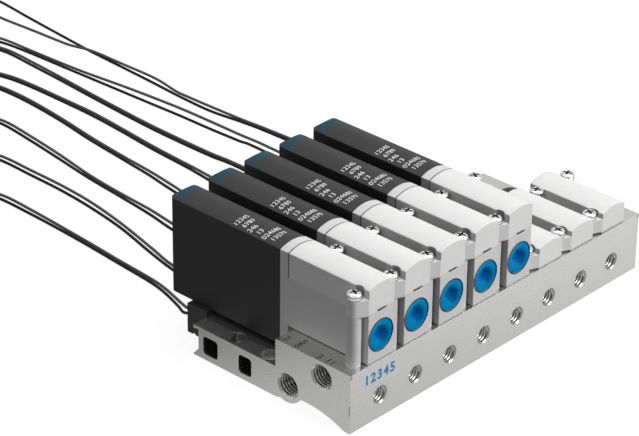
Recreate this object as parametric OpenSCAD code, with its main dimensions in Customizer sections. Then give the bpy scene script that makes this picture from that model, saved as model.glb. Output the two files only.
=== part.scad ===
// Solenoid valve manifold: an aluminium rail with eight stations, five slim
// solenoid valves, three blanking plates, a socket strip and its flying leads.
// X runs along the rail, Y from the front face to the coils, Z up.
// The origin is under the middle of the rail and the valves, on the surface.

/* [Stations] */
// Number of stations on the rail
stations = 8; // [6:1:8]
// Stations, from the left, that carry a valve
valves = 5; // [5:1:5]
// Distance from one station to the next
pitch = 14; // [13.8:0.1:15]
// Width of a valve or blanking plate
unit_w = 9.8; // [9.2:0.1:9.9]

/* [Rail] */
// Distance from the first or last station to the rail's end
rail_end = 11.75; // [11:0.05:14]
// Height of the front section
rail_h = 17.8; // [17:0.1:20]
// Depth of the front section
high_d = 26.9; // [26:0.1:28]
// Height of the rear section
low_h = 9.4; // [9:0.1:10]
// Depth from the front face to the rear lip
rail_d = 57.7; // [56:0.1:59]
// How far the rear lips stand out
lip_d = 1.9; // [1.4:0.1:2.4]
// Thickness of the upper rear lip
lip_t = 1.1; // [0.8:0.1:1.5]
// Height of the lower rear lip
foot_lip_h = 2.5; // [2:0.1:3]
// Radius of the main port wall
main_port_r = 3.2; // [2.8:0.1:3.3]
// Depth of the main port thread
main_port_l = 8; // [6:0.5:10]
// Radius of the galleries
gallery_r = 2.5; // [2:0.1:2.7]
// Radius of the outlet port wall
outlet_r = 2.3; // [2:0.1:2.4]
// Depth of the outlet port thread
outlet_l = 6; // [5.6:0.1:6.5]
// Height of the outlet ports
outlet_z = 7; // [6.5:0.1:7.5]
// Radius of the mounting screw holes
mount_r = 1.65; // [1.5:0.05:1.8]
// Radius of the mounting screw counterbores
mount_head_r = 2.7; // [2.4:0.1:2.8]
// Distance of the mounting holes from the rail's ends
mount_end = 3.1; // [3:0.1:4]

/* [Valve] */
// Length of a valve from front face to the rear of the coil housing
valve_l = 72.7; // [70:0.1:76]
// Height of the valve body above its underside
body_h = 14.6; // [14:0.1:16]
// Height of the side walls above the underside, without the crown
side_h = 22.1; // [21:0.1:24]
// Rise of the arched top
crown_h = 1.1; // [0.6:0.1:1.4]
// Length of the light grey body
body_l = 31.5; // [31:0.1:33]
// Length of the body's upright rear end, behind the cap
upright_l = 2.85; // [2.65:0.05:3.75]
// Height of the coil housing's underside
housing_z = 11.15; // [11.1:0.05:12]
// Wall of the coil housing
housing_wall = 0.7; // [0.5:0.05:0.9]
// Radius of the blue plug
plug_r = 4.55; // [4:0.05:4.6]
// Height of the valve bore above the underside
axis_h = 7.2; // [7:0.1:7.6]
// Radius of the valve bore
bore_r = 3.2; // [3:0.1:3.4]
// Radius of the armature
armature_r = 2.2; // [2:0.05:2.3]
// Stroke of the armature
stroke = 0.4; // [0.2:0.05:0.6]

/* [Blanking plate] */
// Length of a blanking plate
plate_l = 26.3; // [25.5:0.1:26.6]
// Height of a blanking plate's side walls
plate_h = 5.9; // [5.5:0.1:7]

/* [Screws] */
// Radius of the screw heads
head_r = 2.05; // [1.8:0.05:2.05]
// Height of the screw heads
head_h = 2.1; // [1.6:0.1:2.2]
// Radius of the screw shanks
shank_r = 1; // [0.9:0.05:1.1]
// Depth of the screws in the rail
screw_grip = 6; // [4:0.5:7]
// Radius of the screw posts and ears
post_r = 2; // [1.8:0.05:2.05]
// Distance of the front screws from the front face
front_screw_y = 3.5; // [3.2:0.1:4]
// Distance of the rear screws from the front face
rear_screw_y = 22.6; // [22:0.1:23]
// Height of a valve ear above the parting line
ear_h = 5.1; // [4:0.1:6]
// Height of a blanking plate ear above its underside
plate_ear_h = 4.4; // [4:0.1:5]

/* [Socket strip] */
// Height of the strip's underside
strip_z = 1.9; // [1.8:0.1:2.4]
// Height of the strip's top
strip_top = 11; // [10:0.05:11.05]
// Depth of the strip behind the rear lip
strip_d = 7.4; // [7:0.1:9]
// Gap from station to station that the strip leaves at its ends
strip_end = 0.25; // [0:0.05:1]
// Distance between the two contacts of a station
contact_pitch = 2.9; // [2.5:0.1:3.2]

/* [Leads] */
// Diameter of a lead
lead_d = 1; // [0.8:0.05:1.1]
// Radius of the coils in the leads
coil_r = 11.4; // [11:0.1:12]
// Width of the coils' ring
coil_w = 6.8; // [6:0.1:7.5]
// Height of the coils
coil_h = 4.9; // [4.5:0.1:5.5]

/* [Hidden] */
$fn = 64;
eps = 0.01;
// gap between the cap and the upright rear end of the body
cap_gap = 0.25;
cap_l = body_l - upright_l - cap_gap;
// clearances of the fits
running_gap = 0.05;
slip_gap = 0.03;
press_gap = 0.02;

rail_l = (stations - 1) * pitch + 2 * rail_end;
setback = 0.3;
gasket_t = 0.3;
front_y = -(setback + valve_l) / 2;
valve_y = front_y + setback;
valve_z = rail_h + gasket_t;
axis_z = valve_z + axis_h;
body_top = valve_z + body_h;
side_top = valve_z + side_h;
half_w = unit_w / 2;
low_wall_y = front_y + rail_d - lip_d;

// galleries, drillings and reliefs of the rail
supply_y = front_y + 22.35;
supply_z = 5.1;
exhaust_y = front_y + 10.3;
exhaust_z = 13;
boss_r = 5;
// how far the foot reaches past the middle of the boss
foot_reach = 0.6;
arch_y = 16;
arch_foot = 1.9;
arch_top = 2.95;
arch_r = ((arch_y - arch_foot) ^ 2 + arch_top ^ 2) / (2 * arch_top);
drill_r = 1.2;
outlet_y = front_y + 4.8;
supply_drill_y = front_y + 20.5;
channel_z = 1.75;
channel_h = 5.6;
channel_corner = 1;
// front and rear wall of each channel, behind the front face
channels = [[35.8, 40.6], [48.5, 54]];
mount_row_1 = 32;
mount_row_2 = 44.4;
mount_y = [front_y + mount_row_1, front_y + mount_row_2];
mount_head_l = 3.2;
tap_l = screw_grip + 1;
chamfer = 0.6;

// inner pieces of a valve, all along Y
plug_flange_l = 1.2;
plug_l = 7.3;
seat_l = 7.8;
seat_rim_l = 0.8;
seat_rim_r = 1.3;
seat_bore_r = 0.8;
seat_y = valve_y + plug_l;
rim_y = seat_y + seat_l + seat_rim_l;
collar_l = 2.4;
collar_r = bore_r - 0.3;
bobbin_nose_l = 5;
bobbin_l = 30.5;
core_setback = 18;
bobbin_y = valve_y + body_l - 1.8;
flange_l = 1;
flange_r = half_w - housing_wall - 0.1;
tube_r = armature_r + running_gap;
sleeve_r = tube_r + 0.35;
coil_y0 = bobbin_y + bobbin_nose_l + flange_l;
coil_y1 = bobbin_y + bobbin_l - 2 - flange_l;
core_y = bobbin_y + core_setback;
armature_end = core_y - stroke - running_gap;
frame_t = 2;
frame_half_h = half_w + 1.4;
cavity_y0 = valve_y + body_l + housing_wall;
cavity_y1 = valve_y + valve_l - 1.5;
spring_wire_r = 0.2;
spring_r = armature_r + 0.22 + spring_wire_r;
spring_turns = 6;
window_l = 2.4;
window_end = 0.9;
window_t = 0.8;

// the socket strip and its contacts
strip_front = front_y + rail_d;
strip_back = strip_front + strip_d;
contact_setback = 3.7;
contact_y = strip_front + contact_setback;
contact_r = 0.4;
contact_bottom = 6.5;
contact_top = 17;
nib_l = 1.2;
nib_r = 0.95;
nib_z = 4.5;

// Points of every lead on the surface, the left lead of each pair first. A third number lifts a crossing.
lead_routes = [
    [
        [[-48.4, 37.5], [-46.4, 42], [-43.9, 50], [-42.6, 57], [-41.6, 70], [-40.5, 85], [-39.8, 98],
         [-39.4, 112], [-39.4, 124], [-40.7, 134]],
        [[-45.9, 38], [-44.5, 43], [-42.3, 51], [-41.2, 58], [-40.3, 72], [-39.2, 86], [-38.3, 100],
         [-37.6, 113], [-37.4, 125], [-39.5, 134]]
    ],
    [
        [[-36, 38], [-35, 46], [-33, 59], [-30.6, 70], [-26.7, 86], [-24.3, 102], [-23.2, 116], [-23, 130],
         [-22.9, 142], [-24.2, 153]],
        [[-33.2, 38], [-32.6, 46], [-31.4, 60], [-28.7, 71], [-24.7, 88], [-22, 104], [-21, 118], [-20.9, 132],
         [-20.9, 144], [-23, 153]]
    ],
    [
        [[-22.1, 38], [-20.3, 50], [-16.8, 75], [-15, 86], [-13.5, 100], [-12.1, 115], [-9.9, 131],
         [-7.8, 147], [-6.5, 161], [-8, 171]],
        [[-19.3, 38], [-17.6, 52], [-14.2, 78], [-12.9, 88], [-12.1, 101], [-10.7, 116], [-7.9, 133],
         [-5.8, 149], [-4.7, 162], [-6.8, 171]]
    ],
    [
        [[-8.1, 38], [-5.8, 54], [-2, 78], [0.7, 96], [2, 104], [3.6, 118], [5.4, 134], [7.8, 150], [9.3, 166],
         [9.4, 178], [8.2, 190]],
        [[-5.3, 38], [-3.2, 54], [0, 78], [2.5, 95], [3.8, 105], [5, 119], [6.8, 135], [9.1, 151], [10.7, 167],
         [10.8, 179], [9.4, 190]]
    ],
    [
        [[5.9, 38], [8.4, 56], [12.9, 93], [13.7, 102], [14.6, 116], [16.1, 131], [17.2, 146], [17.4, 161],
         [17.3, 174], [16.4, 184], [13.5, 193], [7.2, 198.9], [-3.2, 208.1], [-11.5, 215.4]],
        [[8.8, 38], [11, 56], [14.4, 92], [15.1, 103], [16, 117], [17.5, 132], [18.7, 147], [18.7, 162],
         [18.6, 175], [17.8, 185], [14.6, 194], [8.1, 199.8], [-2.4, 209.1], [-10.7, 216.4]]
    ],
    [
        [[20.1, 38], [22.2, 54], [24.4, 87], [23.8, 99], [23.7, 112], [24, 126], [24.9, 141], [26, 156],
         [27.2, 171], [28.2, 186], [28.8, 199], [26.7, 211]],
        [[22.9, 38], [24.6, 54], [25.6, 88], [25.1, 100], [25.1, 113], [25.4, 127], [26.3, 142], [27.4, 157],
         [28.7, 172], [29.8, 187], [30.3, 200], [27.9, 211.5]]
    ],
    [
        [[34.1, 38], [35.8, 54], [37.6, 92], [37.1, 100], [36.6, 112], [36.4, 125], [35.9, 138], [35.4, 152],
         [34.9, 166], [34.4, 180], [33.9, 194], [32.9, 205], [30.4, 213], [25, 220], [15.2, 229.1], [7, 236.4]],
        [[37, 38], [38.9, 54], [40.5, 90], [40.3, 103], [40.3, 116], [40.1, 129], [39.3, 142], [38.2, 155],
         [36.8, 168], [35.9, 181], [35.4, 194], [34.8, 207], [32.3, 215], [26.4, 221.6], [16.2, 230.1],
         [7.8, 237.3]]
    ],
    [
        [[48, 38], [48.4, 60], [47.7, 97], [46.8, 109], [45.4, 121], [45.8, 135], [46.9, 150], [47.8, 165],
         [48.7, 180], [50.2, 196], [51.9, 213], [53.7, 229], [53.4, 236], [50.4, 241.3], [44.5, 243.8],
         [38.5, 244.4], [35.2, 244.1]],
        [[50.9, 38], [50.6, 60], [48.9, 98], [48.1, 110], [47.7, 123], [47.5, 137], [47.8, 148, 1.75],
         [47.7, 164, 1.8], [47.5, 178, 1.75], [46.9, 190], [46.1, 207], [45.4, 219], [45.6, 227], [45, 234.4]]
    ]
];
// Middle of the coil that each pair ends in
coil_places = [
    [-50.5, 133.4], [-34, 152.1], [-17.8, 170.5], [-1.6, 188.9], [-18, 208.1], [16.9, 209.9], [0.5, 229.1],
    [35.2, 233.7]
];
lead_z = 0.55;
landing_z = 1.1;
spline_steps = 3;
lead_sides = 8;

// Middle of station k along the rail
function station_x(k) = (k - (stations + 1) / 2) * pitch;

// Point where a line from corner p touches a circle round the origin, on the given side
function touch_point(p, r, side) =
    let (turn = acos(r / norm(p)), at = atan2(p[1], p[0]) + side * turn)
        [r * cos(at), r * sin(at)];

// Smooth line through the points p, with n steps from one to the next
function smooth_line(p, n) = [
    for (i = [0 : len(p) - 2], s = [0 : n - 1])
        let (t = s / n, a = p[max(i - 1, 0)], b = p[i], c = p[i + 1], d = p[min(i + 2, len(p) - 1)])
            b + t * (c - a) / 2 + t * t * (2 * a - 5 * b + 4 * c - d) / 2 + t ^ 3 * (3 * (b - c) + d - a) / 2,
    p[len(p) - 1]
];

// Round tube of radius r along the points p, which nowhere run along the direction up
module tube(p, r, sides, up = [0, 0, 1]) {
    last = len(p) - 1;
    rings = [
        for (i = [0 : last])
            let (
                way = p[min(i + 1, last)] - p[max(i - 1, 0)],
                across = cross(way, up) / norm(cross(way, up)),
                upright = cross(across, way) / norm(way)
            )
            for (s = [0 : sides - 1])
                let (a = 360 * s / sides) p[i] + r * (cos(a) * across + sin(a) * upright)
    ];
    walls = [
        for (i = [0 : last - 1], s = [0 : sides - 1])
            let (a = i * sides + s, b = i * sides + (s + 1) % sides)
            each [[a, b, b + sides], [a, b + sides, a + sides]]
    ];
    ends = [
        [for (s = [sides - 1 : -1 : 0]) s],
        [for (s = [0 : sides - 1]) last * sides + s]
    ];
    polyhedron(rings, concat(walls, ends), convexity = 10);
}

// Outline drawn in X and Z, carried along Y
module along_y(y0, y1) {
    translate([0, y1, 0]) rotate([90, 0, 0]) linear_extrude(height = y1 - y0) children();
}

// Outline drawn in Y and Z, carried along X
module along_x(x0, x1) {
    translate([x0, 0, 0]) rotate([90, 0, 90]) linear_extrude(height = x1 - x0) children();
}

// Cylinder that starts at p and runs along +Y
module rod_y(p, r, l) {
    translate(p) rotate([-90, 0, 0]) cylinder(r = r, h = l);
}

// Turned piece: an outline of radius and place, turned about a line along +Y that starts at p
module turned_y(p, outline) {
    translate(p) rotate([-90, 0, 0]) rotate_extrude() polygon(outline);
}

module rounded_rect(x0, y0, x1, y1, r) {
    union() {
        translate([x0 + r, y0]) square([x1 - x0 - 2 * r, y1 - y0]);
        translate([x0, y0 + r]) square([x1 - x0, y1 - y0 - 2 * r]);
        for (x = [x0 + r, x1 - r], y = [y0 + r, y1 - r]) translate([x, y]) circle(r = r);
    }
}

// Upright wall outline with an arched top, in X and Z
module crowned(z0, z1, w, crown) {
    arc_r = (w * w / 4 + crown * crown) / (2 * crown);
    translate([-w / 2, z0]) square([w, z1 - z0]);
    intersection() {
        translate([0, z1 + crown - arc_r]) circle(r = arc_r, $fn = 180);
        translate([-w / 2, z1 - eps]) square([w, crown + 2 * eps]);
    }
}

// Both screw places of a unit, front left and rear right
module at_screws() {
    translate([-pitch / 2, front_y + front_screw_y, 0]) children();
    translate([pitch / 2, front_y + rear_screw_y, 0]) rotate(180) children();
}

// Ear that joins a screw post on the left to the flank of a unit
module ear(z0, z1) {
    flank = pitch / 2 - half_w;
    front_corner = [flank + eps, -front_screw_y + setback];
    rear_corner = [flank + eps, post_r + 0.8];
    translate([0, 0, z0]) {
        cylinder(r = post_r, h = z1 - z0);
        linear_extrude(height = z1 - z0)
            polygon([[0, 0], touch_point(front_corner, post_r, -1), front_corner, rear_corner,
                     touch_point(rear_corner, post_r, 1)]);
    }
}

// Free standing screw post with the thin web that holds it to the flank
module post(z0, z1) {
    web_t = 1.2;
    translate([0, 0, z0]) cylinder(r = post_r, h = z1 - z0);
    translate([0, -web_t / 2, valve_z]) cube([pitch / 2 - half_w + eps, web_t, z1 - valve_z]);
}

// Hole for a screw shank with the round clearance for the head above it
module screw_hole(z0, seat_z, z1) {
    translate([0, 0, z0]) cylinder(r = shank_r + 0.1, h = seat_z - z0 + eps);
    translate([0, 0, seat_z]) cylinder(r = head_r + 0.6, h = z1 - seat_z);
}

module rail_outline() {
    back = rail_d;
    wall = rail_d - lip_d;
    notch_y = supply_y - front_y + 2.6;
    difference() {
        polygon([
            [0, 0], [0, rail_h], [high_d, rail_h], [high_d, low_h], [back, low_h], [back, low_h - lip_t],
            [wall, low_h - lip_t + 0.3], [wall, foot_lip_h], [back, 0.45], [back, 0],
            [notch_y + 1.5, 0], [notch_y, 0.5], [notch_y - 1.5, 0]
        ]);
        difference() {
            translate([arch_y, arch_top - arch_r]) circle(r = arch_r, $fn = 360);
            translate([supply_y - front_y - foot_reach, -arch_r * 2]) square([arch_r * 2, arch_r * 4]);
            translate([supply_y - front_y, supply_z]) circle(r = boss_r, $fn = 96);
        }
    }
}

module threaded_mouth_x(y, z) {
    for (side = [-1, 1])
        translate([side * rail_l / 2, y, z]) rotate([0, -side * 90, 0]) {
            translate([0, 0, -eps]) cylinder(r = main_port_r, h = main_port_l);
            translate([0, 0, -eps]) cylinder(r1 = main_port_r + chamfer, r2 = main_port_r, h = chamfer);
        }
}

module manifold_rail() {
    color([0.75, 0.76, 0.77])
    difference() {
        translate([0, front_y, 0]) along_x(-rail_l / 2, rail_l / 2) rail_outline();
        translate([0, front_y, 0]) along_x(-rail_l / 2 - 1, rail_l / 2 + 1) {
            for (c = channels) rounded_rect(c[0], channel_z, c[1], channel_z + channel_h, channel_corner);
        }
        for (g = [[supply_y, supply_z], [exhaust_y, exhaust_z]]) {
            translate([-rail_l / 2 - 1, g[0], g[1]]) rotate([0, 90, 0])
                cylinder(r = gallery_r, h = rail_l + 2);
            threaded_mouth_x(g[0], g[1]);
        }
        for (k = [1 : stations]) translate([station_x(k), 0, 0]) {
            rod_y([0, front_y - eps, outlet_z], outlet_r, outlet_l + eps);
            translate([0, front_y - eps, outlet_z]) rotate([-90, 0, 0])
                cylinder(r1 = outlet_r + 0.4, r2 = outlet_r, h = 0.4);
            translate([0, outlet_y, outlet_z]) cylinder(r = drill_r, h = rail_h);
            translate([0, exhaust_y, exhaust_z]) cylinder(r = drill_r, h = rail_h);
            translate([0, supply_drill_y, supply_z]) cylinder(r = drill_r, h = rail_h);
            at_screws() translate([0, 0, rail_h - tap_l]) cylinder(r = shank_r + slip_gap, h = rail_h);
        }
        for (side = [-1, 1], y = mount_y) translate([side * (rail_l / 2 - mount_end), y, -1]) {
            cylinder(r = mount_r, h = low_h + 2);
            translate([0, 0, 1 + low_h - mount_head_l]) cylinder(r = mount_head_r, h = low_h);
        }
    }
}

module socket_strip() {
    x0 = station_x(1) - pitch / 2 + strip_end;
    x1 = station_x(stations) + pitch / 2 - strip_end;
    tongue_gap = 0.05;
    color([0.13, 0.13, 0.13])
    difference() {
        union() {
            along_x(x0, x1) polygon([
                [strip_front, strip_z], [strip_front, foot_lip_h + 0.4],
                [low_wall_y + tongue_gap, foot_lip_h + 0.6], [low_wall_y + tongue_gap, low_h - lip_t - 0.5],
                [strip_front, low_h - lip_t - 0.5], [strip_front, strip_top],
                [strip_back, strip_top], [strip_back, strip_z], [strip_back - 2, strip_z],
                [strip_back - 2.6, strip_z + 0.5], [strip_back - 3.2, strip_z]
            ]);
            for (k = [1 : stations], side = [-1, 1])
                rod_y([station_x(k) + side * contact_pitch / 2, strip_back - eps, nib_z], nib_r, nib_l + eps);
        }
        for (k = [1 : stations], side = [-1, 1])
            translate([station_x(k) + side * contact_pitch / 2, contact_y, contact_bottom - 0.5])
                cylinder(r = contact_r + running_gap, h = strip_top, $fn = 24);
        for (k = [1 : stations - 1])
            translate([(station_x(k) + station_x(k + 1)) / 2 - 0.25, strip_back - 0.4, strip_z - 1])
                cube([0.5, 1, strip_top]);
    }
}

module blanking_plates() {
    top = valve_z + plate_ear_h;
    ear_lift = 0.5;
    color([0.88, 0.88, 0.87])
    for (k = [valves + 1 : stations]) translate([station_x(k), 0, 0])
        difference() {
            union() {
                along_y(valve_y, valve_y + plate_l) crowned(valve_z, valve_z + plate_h, unit_w, crown_h);
                at_screws() ear(rail_h + ear_lift, top);
            }
            at_screws() screw_hole(rail_h - 1, top, valve_z + plate_h + 5);
        }
}

module valve_body() {
    color([0.87, 0.87, 0.86])
    difference() {
        union() {
            along_y(valve_y, valve_y + body_l) translate([-half_w, valve_z]) square([unit_w, body_h]);
            along_y(valve_y + body_l - upright_l, valve_y + body_l)
                crowned(housing_z, side_top, unit_w, crown_h);
            at_screws() post(rail_h, body_top);
        }
        rod_y([0, valve_y - eps, axis_z], plug_r + 0.06, plug_flange_l + eps);
        rod_y([0, valve_y, axis_z], bore_r, body_l + 1);
        for (y = [outlet_y, exhaust_y, supply_drill_y])
            translate([0, y, valve_z - 1]) cylinder(r = drill_r, h = axis_z - valve_z + 1);
        at_screws() translate([0, 0, rail_h - 1]) cylinder(r = shank_r + 0.1, h = body_h + 5);
    }
}

module valve_cap() {
    ear_top = body_top + ear_h;
    wall = 1.1;
    slot_w = 3.6;
    slot_h = 0.45;
    color([0.9, 0.9, 0.89])
    difference() {
        union() {
            along_y(valve_y, valve_y + cap_l) crowned(body_top, side_top, unit_w, crown_h);
            at_screws() ear(body_top, ear_top);
        }
        translate([-half_w + wall, valve_y + 6, body_top - 1])
            cube([unit_w - 2 * wall, cap_l - 6 - wall, side_top - body_top - 0.4]);
        translate([0.2 - slot_w / 2, valve_y - 1, body_top + 0.15]) cube([slot_w, 1.7, slot_h]);
        at_screws() screw_hole(body_top - 1, ear_top, side_top + 5);
    }
}

// Crowned top of the coil housing, as thick as the window
module window_outline(w) {
    difference() {
        crowned(side_top - 3, side_top, unit_w, crown_h);
        translate([0, -window_t]) crowned(side_top - 4, side_top, unit_w, crown_h);
        for (side = [-1, 1]) translate([side * (w / 2 + 5), side_top]) square(10, center = true);
    }
}

module status_window() {
    y1 = valve_y + valve_l - window_end;
    color([0.1, 0.35, 0.6]) along_y(y1 - window_l, y1) window_outline(unit_w - 2);
}

module coil_housing() {
    y0 = valve_y + body_l;
    y1 = valve_y + valve_l;
    corner = 1;
    bevel = 0.7;
    floor_h = 2.4;
    window_y = y1 - window_end;
    color([0.14, 0.14, 0.14])
    difference() {
        intersection() {
            along_y(y0, y1) crowned(housing_z, side_top, unit_w, crown_h);
            along_x(-half_w, half_w) polygon([
                [y0, housing_z], [y0, side_top + 2], [y1 - bevel, side_top + 2],
                [y1 - bevel, side_top + crown_h], [y1, side_top + crown_h - bevel],
                [y1, housing_z + bevel], [y1 - bevel, housing_z]
            ]);
            union() {
                translate([0, 0, housing_z]) linear_extrude(height = side_h * 2)
                    rounded_rect(-half_w, y0 + corner, half_w, y1, corner);
                translate([-half_w, y0, housing_z]) cube([unit_w, corner * 2 + 1, side_h * 2]);
            }
        }
        translate([-half_w + housing_wall, cavity_y0, housing_z + housing_wall])
            cube([unit_w - 2 * housing_wall, cavity_y1 - cavity_y0, side_top - housing_z - 2.4]);
        rod_y([0, y0 - 1, axis_z], bore_r, housing_wall + 2);
        for (side = [-1, 1]) translate([side * contact_pitch / 2, contact_y, housing_z - 1])
            cylinder(r = contact_r + slip_gap, h = floor_h + 2, $fn = 24);
        along_y(window_y - window_l, window_y) window_outline(unit_w - 2);
    }
}

module bore_plug() {
    rim = plug_r - 0.55;
    pocket_r = 2.1;
    shank = bore_r - press_gap;
    sleeve = bore_r - 0.9;
    color([0, 0.47, 0.75])
    difference() {
        turned_y([0, valve_y, axis_z], [
            [0, 2.2], [pocket_r, 1.9], [pocket_r, 0.55], [rim, 0.12], [plug_r, 0.12], [plug_r, plug_flange_l],
            [shank, plug_flange_l], [shank, plug_l], [sleeve, plug_l], [sleeve, 3.2], [0, 3.2]
        ]);
        translate([0, outlet_y, axis_z - bore_r - 1]) cylinder(r = drill_r, h = bore_r);
    }
}

module seat_insert() {
    land = bore_r - press_gap;
    land_l = 1.2;
    waist = land - 0.9;
    waist_l = 3;
    color([0.8, 0.65, 0.35])
    turned_y([0, seat_y, axis_z], [
        [seat_bore_r, 0], [land, 0], [land, land_l], [waist, land_l], [waist, land_l + waist_l],
        [land, land_l + waist_l], [land, seat_l],
        [seat_rim_r, seat_l], [seat_rim_r, seat_l + seat_rim_l], [seat_bore_r, seat_l + seat_rim_l]
    ]);
}

module armature() {
    seal_l = 0.9;
    seal_r = collar_r - 0.5;
    long = armature_end - rim_y;
    color([0.6, 0.6, 0.62])
    turned_y([0, rim_y, axis_z], [
        [0, 0], [seal_r, 0], [seal_r, seal_l], [collar_r, seal_l], [collar_r, collar_l],
        [armature_r, collar_l], [armature_r, long - 0.3], [armature_r - 0.3, long], [0, long]
    ]);
}

module return_spring() {
    y0 = rim_y + collar_l + spring_wire_r;
    y1 = bobbin_y - spring_wire_r;
    turn_steps = 10;
    steps = turn_steps * spring_turns;
    line = [
        for (i = [0 : steps])
            let (turn = 360 * i / turn_steps)
            [spring_r * cos(turn), y0 + (y1 - y0) * i / steps, axis_z + spring_r * sin(turn)]
    ];
    color([0.7, 0.7, 0.7]) tube(line, spring_wire_r, 6, [0, 1, 0]);
}

module bobbin() {
    nose = bore_r - press_gap;
    flange0 = bobbin_nose_l;
    flange1 = bobbin_l - 2 - flange_l;
    color([0.9, 0.88, 0.8])
    turned_y([0, bobbin_y, axis_z], [
        [tube_r, 0], [nose, 0], [nose, flange0], [flange_r, flange0], [flange_r, flange0 + flange_l],
        [sleeve_r, flange0 + flange_l], [sleeve_r, flange1], [flange_r, flange1],
        [flange_r, flange1 + flange_l], [sleeve_r, flange1 + flange_l], [sleeve_r, bobbin_l], [tube_r, bobbin_l]
    ]);
}

module solenoid_coil() {
    color([0.72, 0.4, 0.2])
    turned_y([0, coil_y0, axis_z], [
        [sleeve_r, 0], [flange_r - 0.2, 0], [flange_r - 0.2, coil_y1 - coil_y0], [sleeve_r, coil_y1 - coil_y0]
    ]);
}

module magnet_frame() {
    y0 = coil_y0 - flange_l - frame_t;
    y1 = coil_y1 + flange_l + frame_t;
    wide = unit_w - 2 * housing_wall - 0.1;
    color([0.55, 0.56, 0.58])
    union() {
        difference() {
            translate([-wide / 2, y0, axis_z - frame_half_h]) cube([wide, y1 - y0, 2 * frame_half_h]);
            translate([-half_w, y0 + frame_t, axis_z - frame_half_h + frame_t])
                cube([unit_w, y1 - y0 - 2 * frame_t, 2 * (frame_half_h - frame_t)]);
            rod_y([0, y0 - 1, axis_z], bore_r, frame_t + 2);
            rod_y([0, y1 - frame_t - 1, axis_z], sleeve_r, frame_t + 2);
        }
        rod_y([0, core_y, axis_z], armature_r, y1 - core_y);
        rod_y([0, bobbin_y + bobbin_l, axis_z], sleeve_r + 0.8, 1);
    }
}

module contact_pin_pair() {
    color([0.85, 0.75, 0.4])
    for (side = [-1, 1])
        translate([side * contact_pitch / 2, contact_y, contact_bottom])
            cylinder(r = contact_r, h = contact_top - contact_bottom, $fn = 24);
}

module gasket(holes) {
    edge = 0.5;
    color([0.2, 0.2, 0.2])
    difference() {
        translate([-half_w + edge, valve_y + 1, rail_h]) cube([unit_w - 2 * edge, high_d - 3, gasket_t]);
        if (holes) for (y = [outlet_y, exhaust_y, supply_drill_y])
            translate([0, y, rail_h - 1]) cylinder(r = drill_r, h = 3);
    }
}

// Pan head screw whose head rests at height z
module screw(z) {
    recess_w = 0.6;
    recess_l = 2.2;
    recess_h = 0.9;
    dome = 0.5;
    low = rail_h - screw_grip;
    color([0.8, 0.8, 0.82])
    difference() {
        union() {
            translate([0, 0, low]) cylinder(r = shank_r, h = z - low + eps);
            translate([0, 0, z]) rotate_extrude() polygon([
                [0, 0], [head_r, 0], [head_r, head_h - dome * 2], [head_r - 0.2, head_h - dome],
                [head_r - 0.6, head_h - 0.15], [0, head_h]
            ]);
        }
        for (turn = [20, 110]) translate([0, 0, z + head_h - recess_h / 2]) rotate(turn)
            cube([recess_l, recess_w, recess_h + eps], center = true);
    }
}

module at_valves() {
    for (k = [1 : valves]) translate([station_x(k), 0, 0]) children();
}

// The two leads of station k, from their sleeves on the strip to the coil they end in
module lead_pair(k) {
    y0 = strip_back + nib_l;
    color([0.1, 0.1, 0.1])
    for (side = [0, 1]) {
        x = station_x(k) + (side - 0.5) * contact_pitch;
        route = lead_routes[k - 1][side];
        points = [
            [x, y0 + 1.5, nib_z - 0.2],
            for (i = [0 : len(route) - 1])
                let (p = route[i], height = len(p) > 2 ? p[2] : lead_z)
                [p[0], p[1], i == 0 ? landing_z : height]
        ];
        line = [for (p = smooth_line(points, spline_steps)) [p[0], p[1], max(p[2], lead_z)]];
        tube(concat([[x, y0, nib_z]], line), lead_d / 2, lead_sides);
    }
}

module lead_coil(k) {
    round_r = 1.5;
    color([0.1, 0.1, 0.1])
    translate([coil_places[k - 1][0], coil_places[k - 1][1], 0])
        rotate_extrude() translate([coil_r - coil_w, 0]) rounded_rect(0, 0, coil_w, coil_h, round_r);
}

manifold_rail();
socket_strip();
blanking_plates();
at_valves() solenoid_coil();  // solenoid_coils
at_valves() bobbin();  // bobbins
at_valves() magnet_frame();  // magnet_frames
at_valves() seat_insert();  // seat_inserts
at_valves() contact_pin_pair();  // contact_pins
at_valves() status_window();  // status_windows
at_valves() gasket(true);  // valve_gaskets
for (k = [valves + 1 : stations]) translate([station_x(k), 0, 0]) gasket(false);  // plate_gaskets
at_valves() at_screws() screw(body_top + ear_h);  // valve_screws
for (k = [valves + 1 : stations])  // plate_screws
        translate([station_x(k), 0, 0]) at_screws() screw(valve_z + plate_ear_h);
for (k = [1 : valves]) {
    translate([station_x(k), 0, 0]) valve_body();
    translate([station_x(k), 0, 0]) valve_cap();
    translate([station_x(k), 0, 0]) coil_housing();
    translate([station_x(k), 0, 0]) bore_plug();
    translate([station_x(k), 0, 0]) armature();
    translate([station_x(k), 0, 0]) return_spring();
}
for (k = [1 : stations]) {
    lead_pair(k);
    lead_coil(k);
}
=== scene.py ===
"""Solenoid valve manifold: finishes, leads, fasteners, port threads, marks and the photo stage."""

import math

import bmesh
import bpy
from mathutils import Euler, Matrix, Vector


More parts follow.
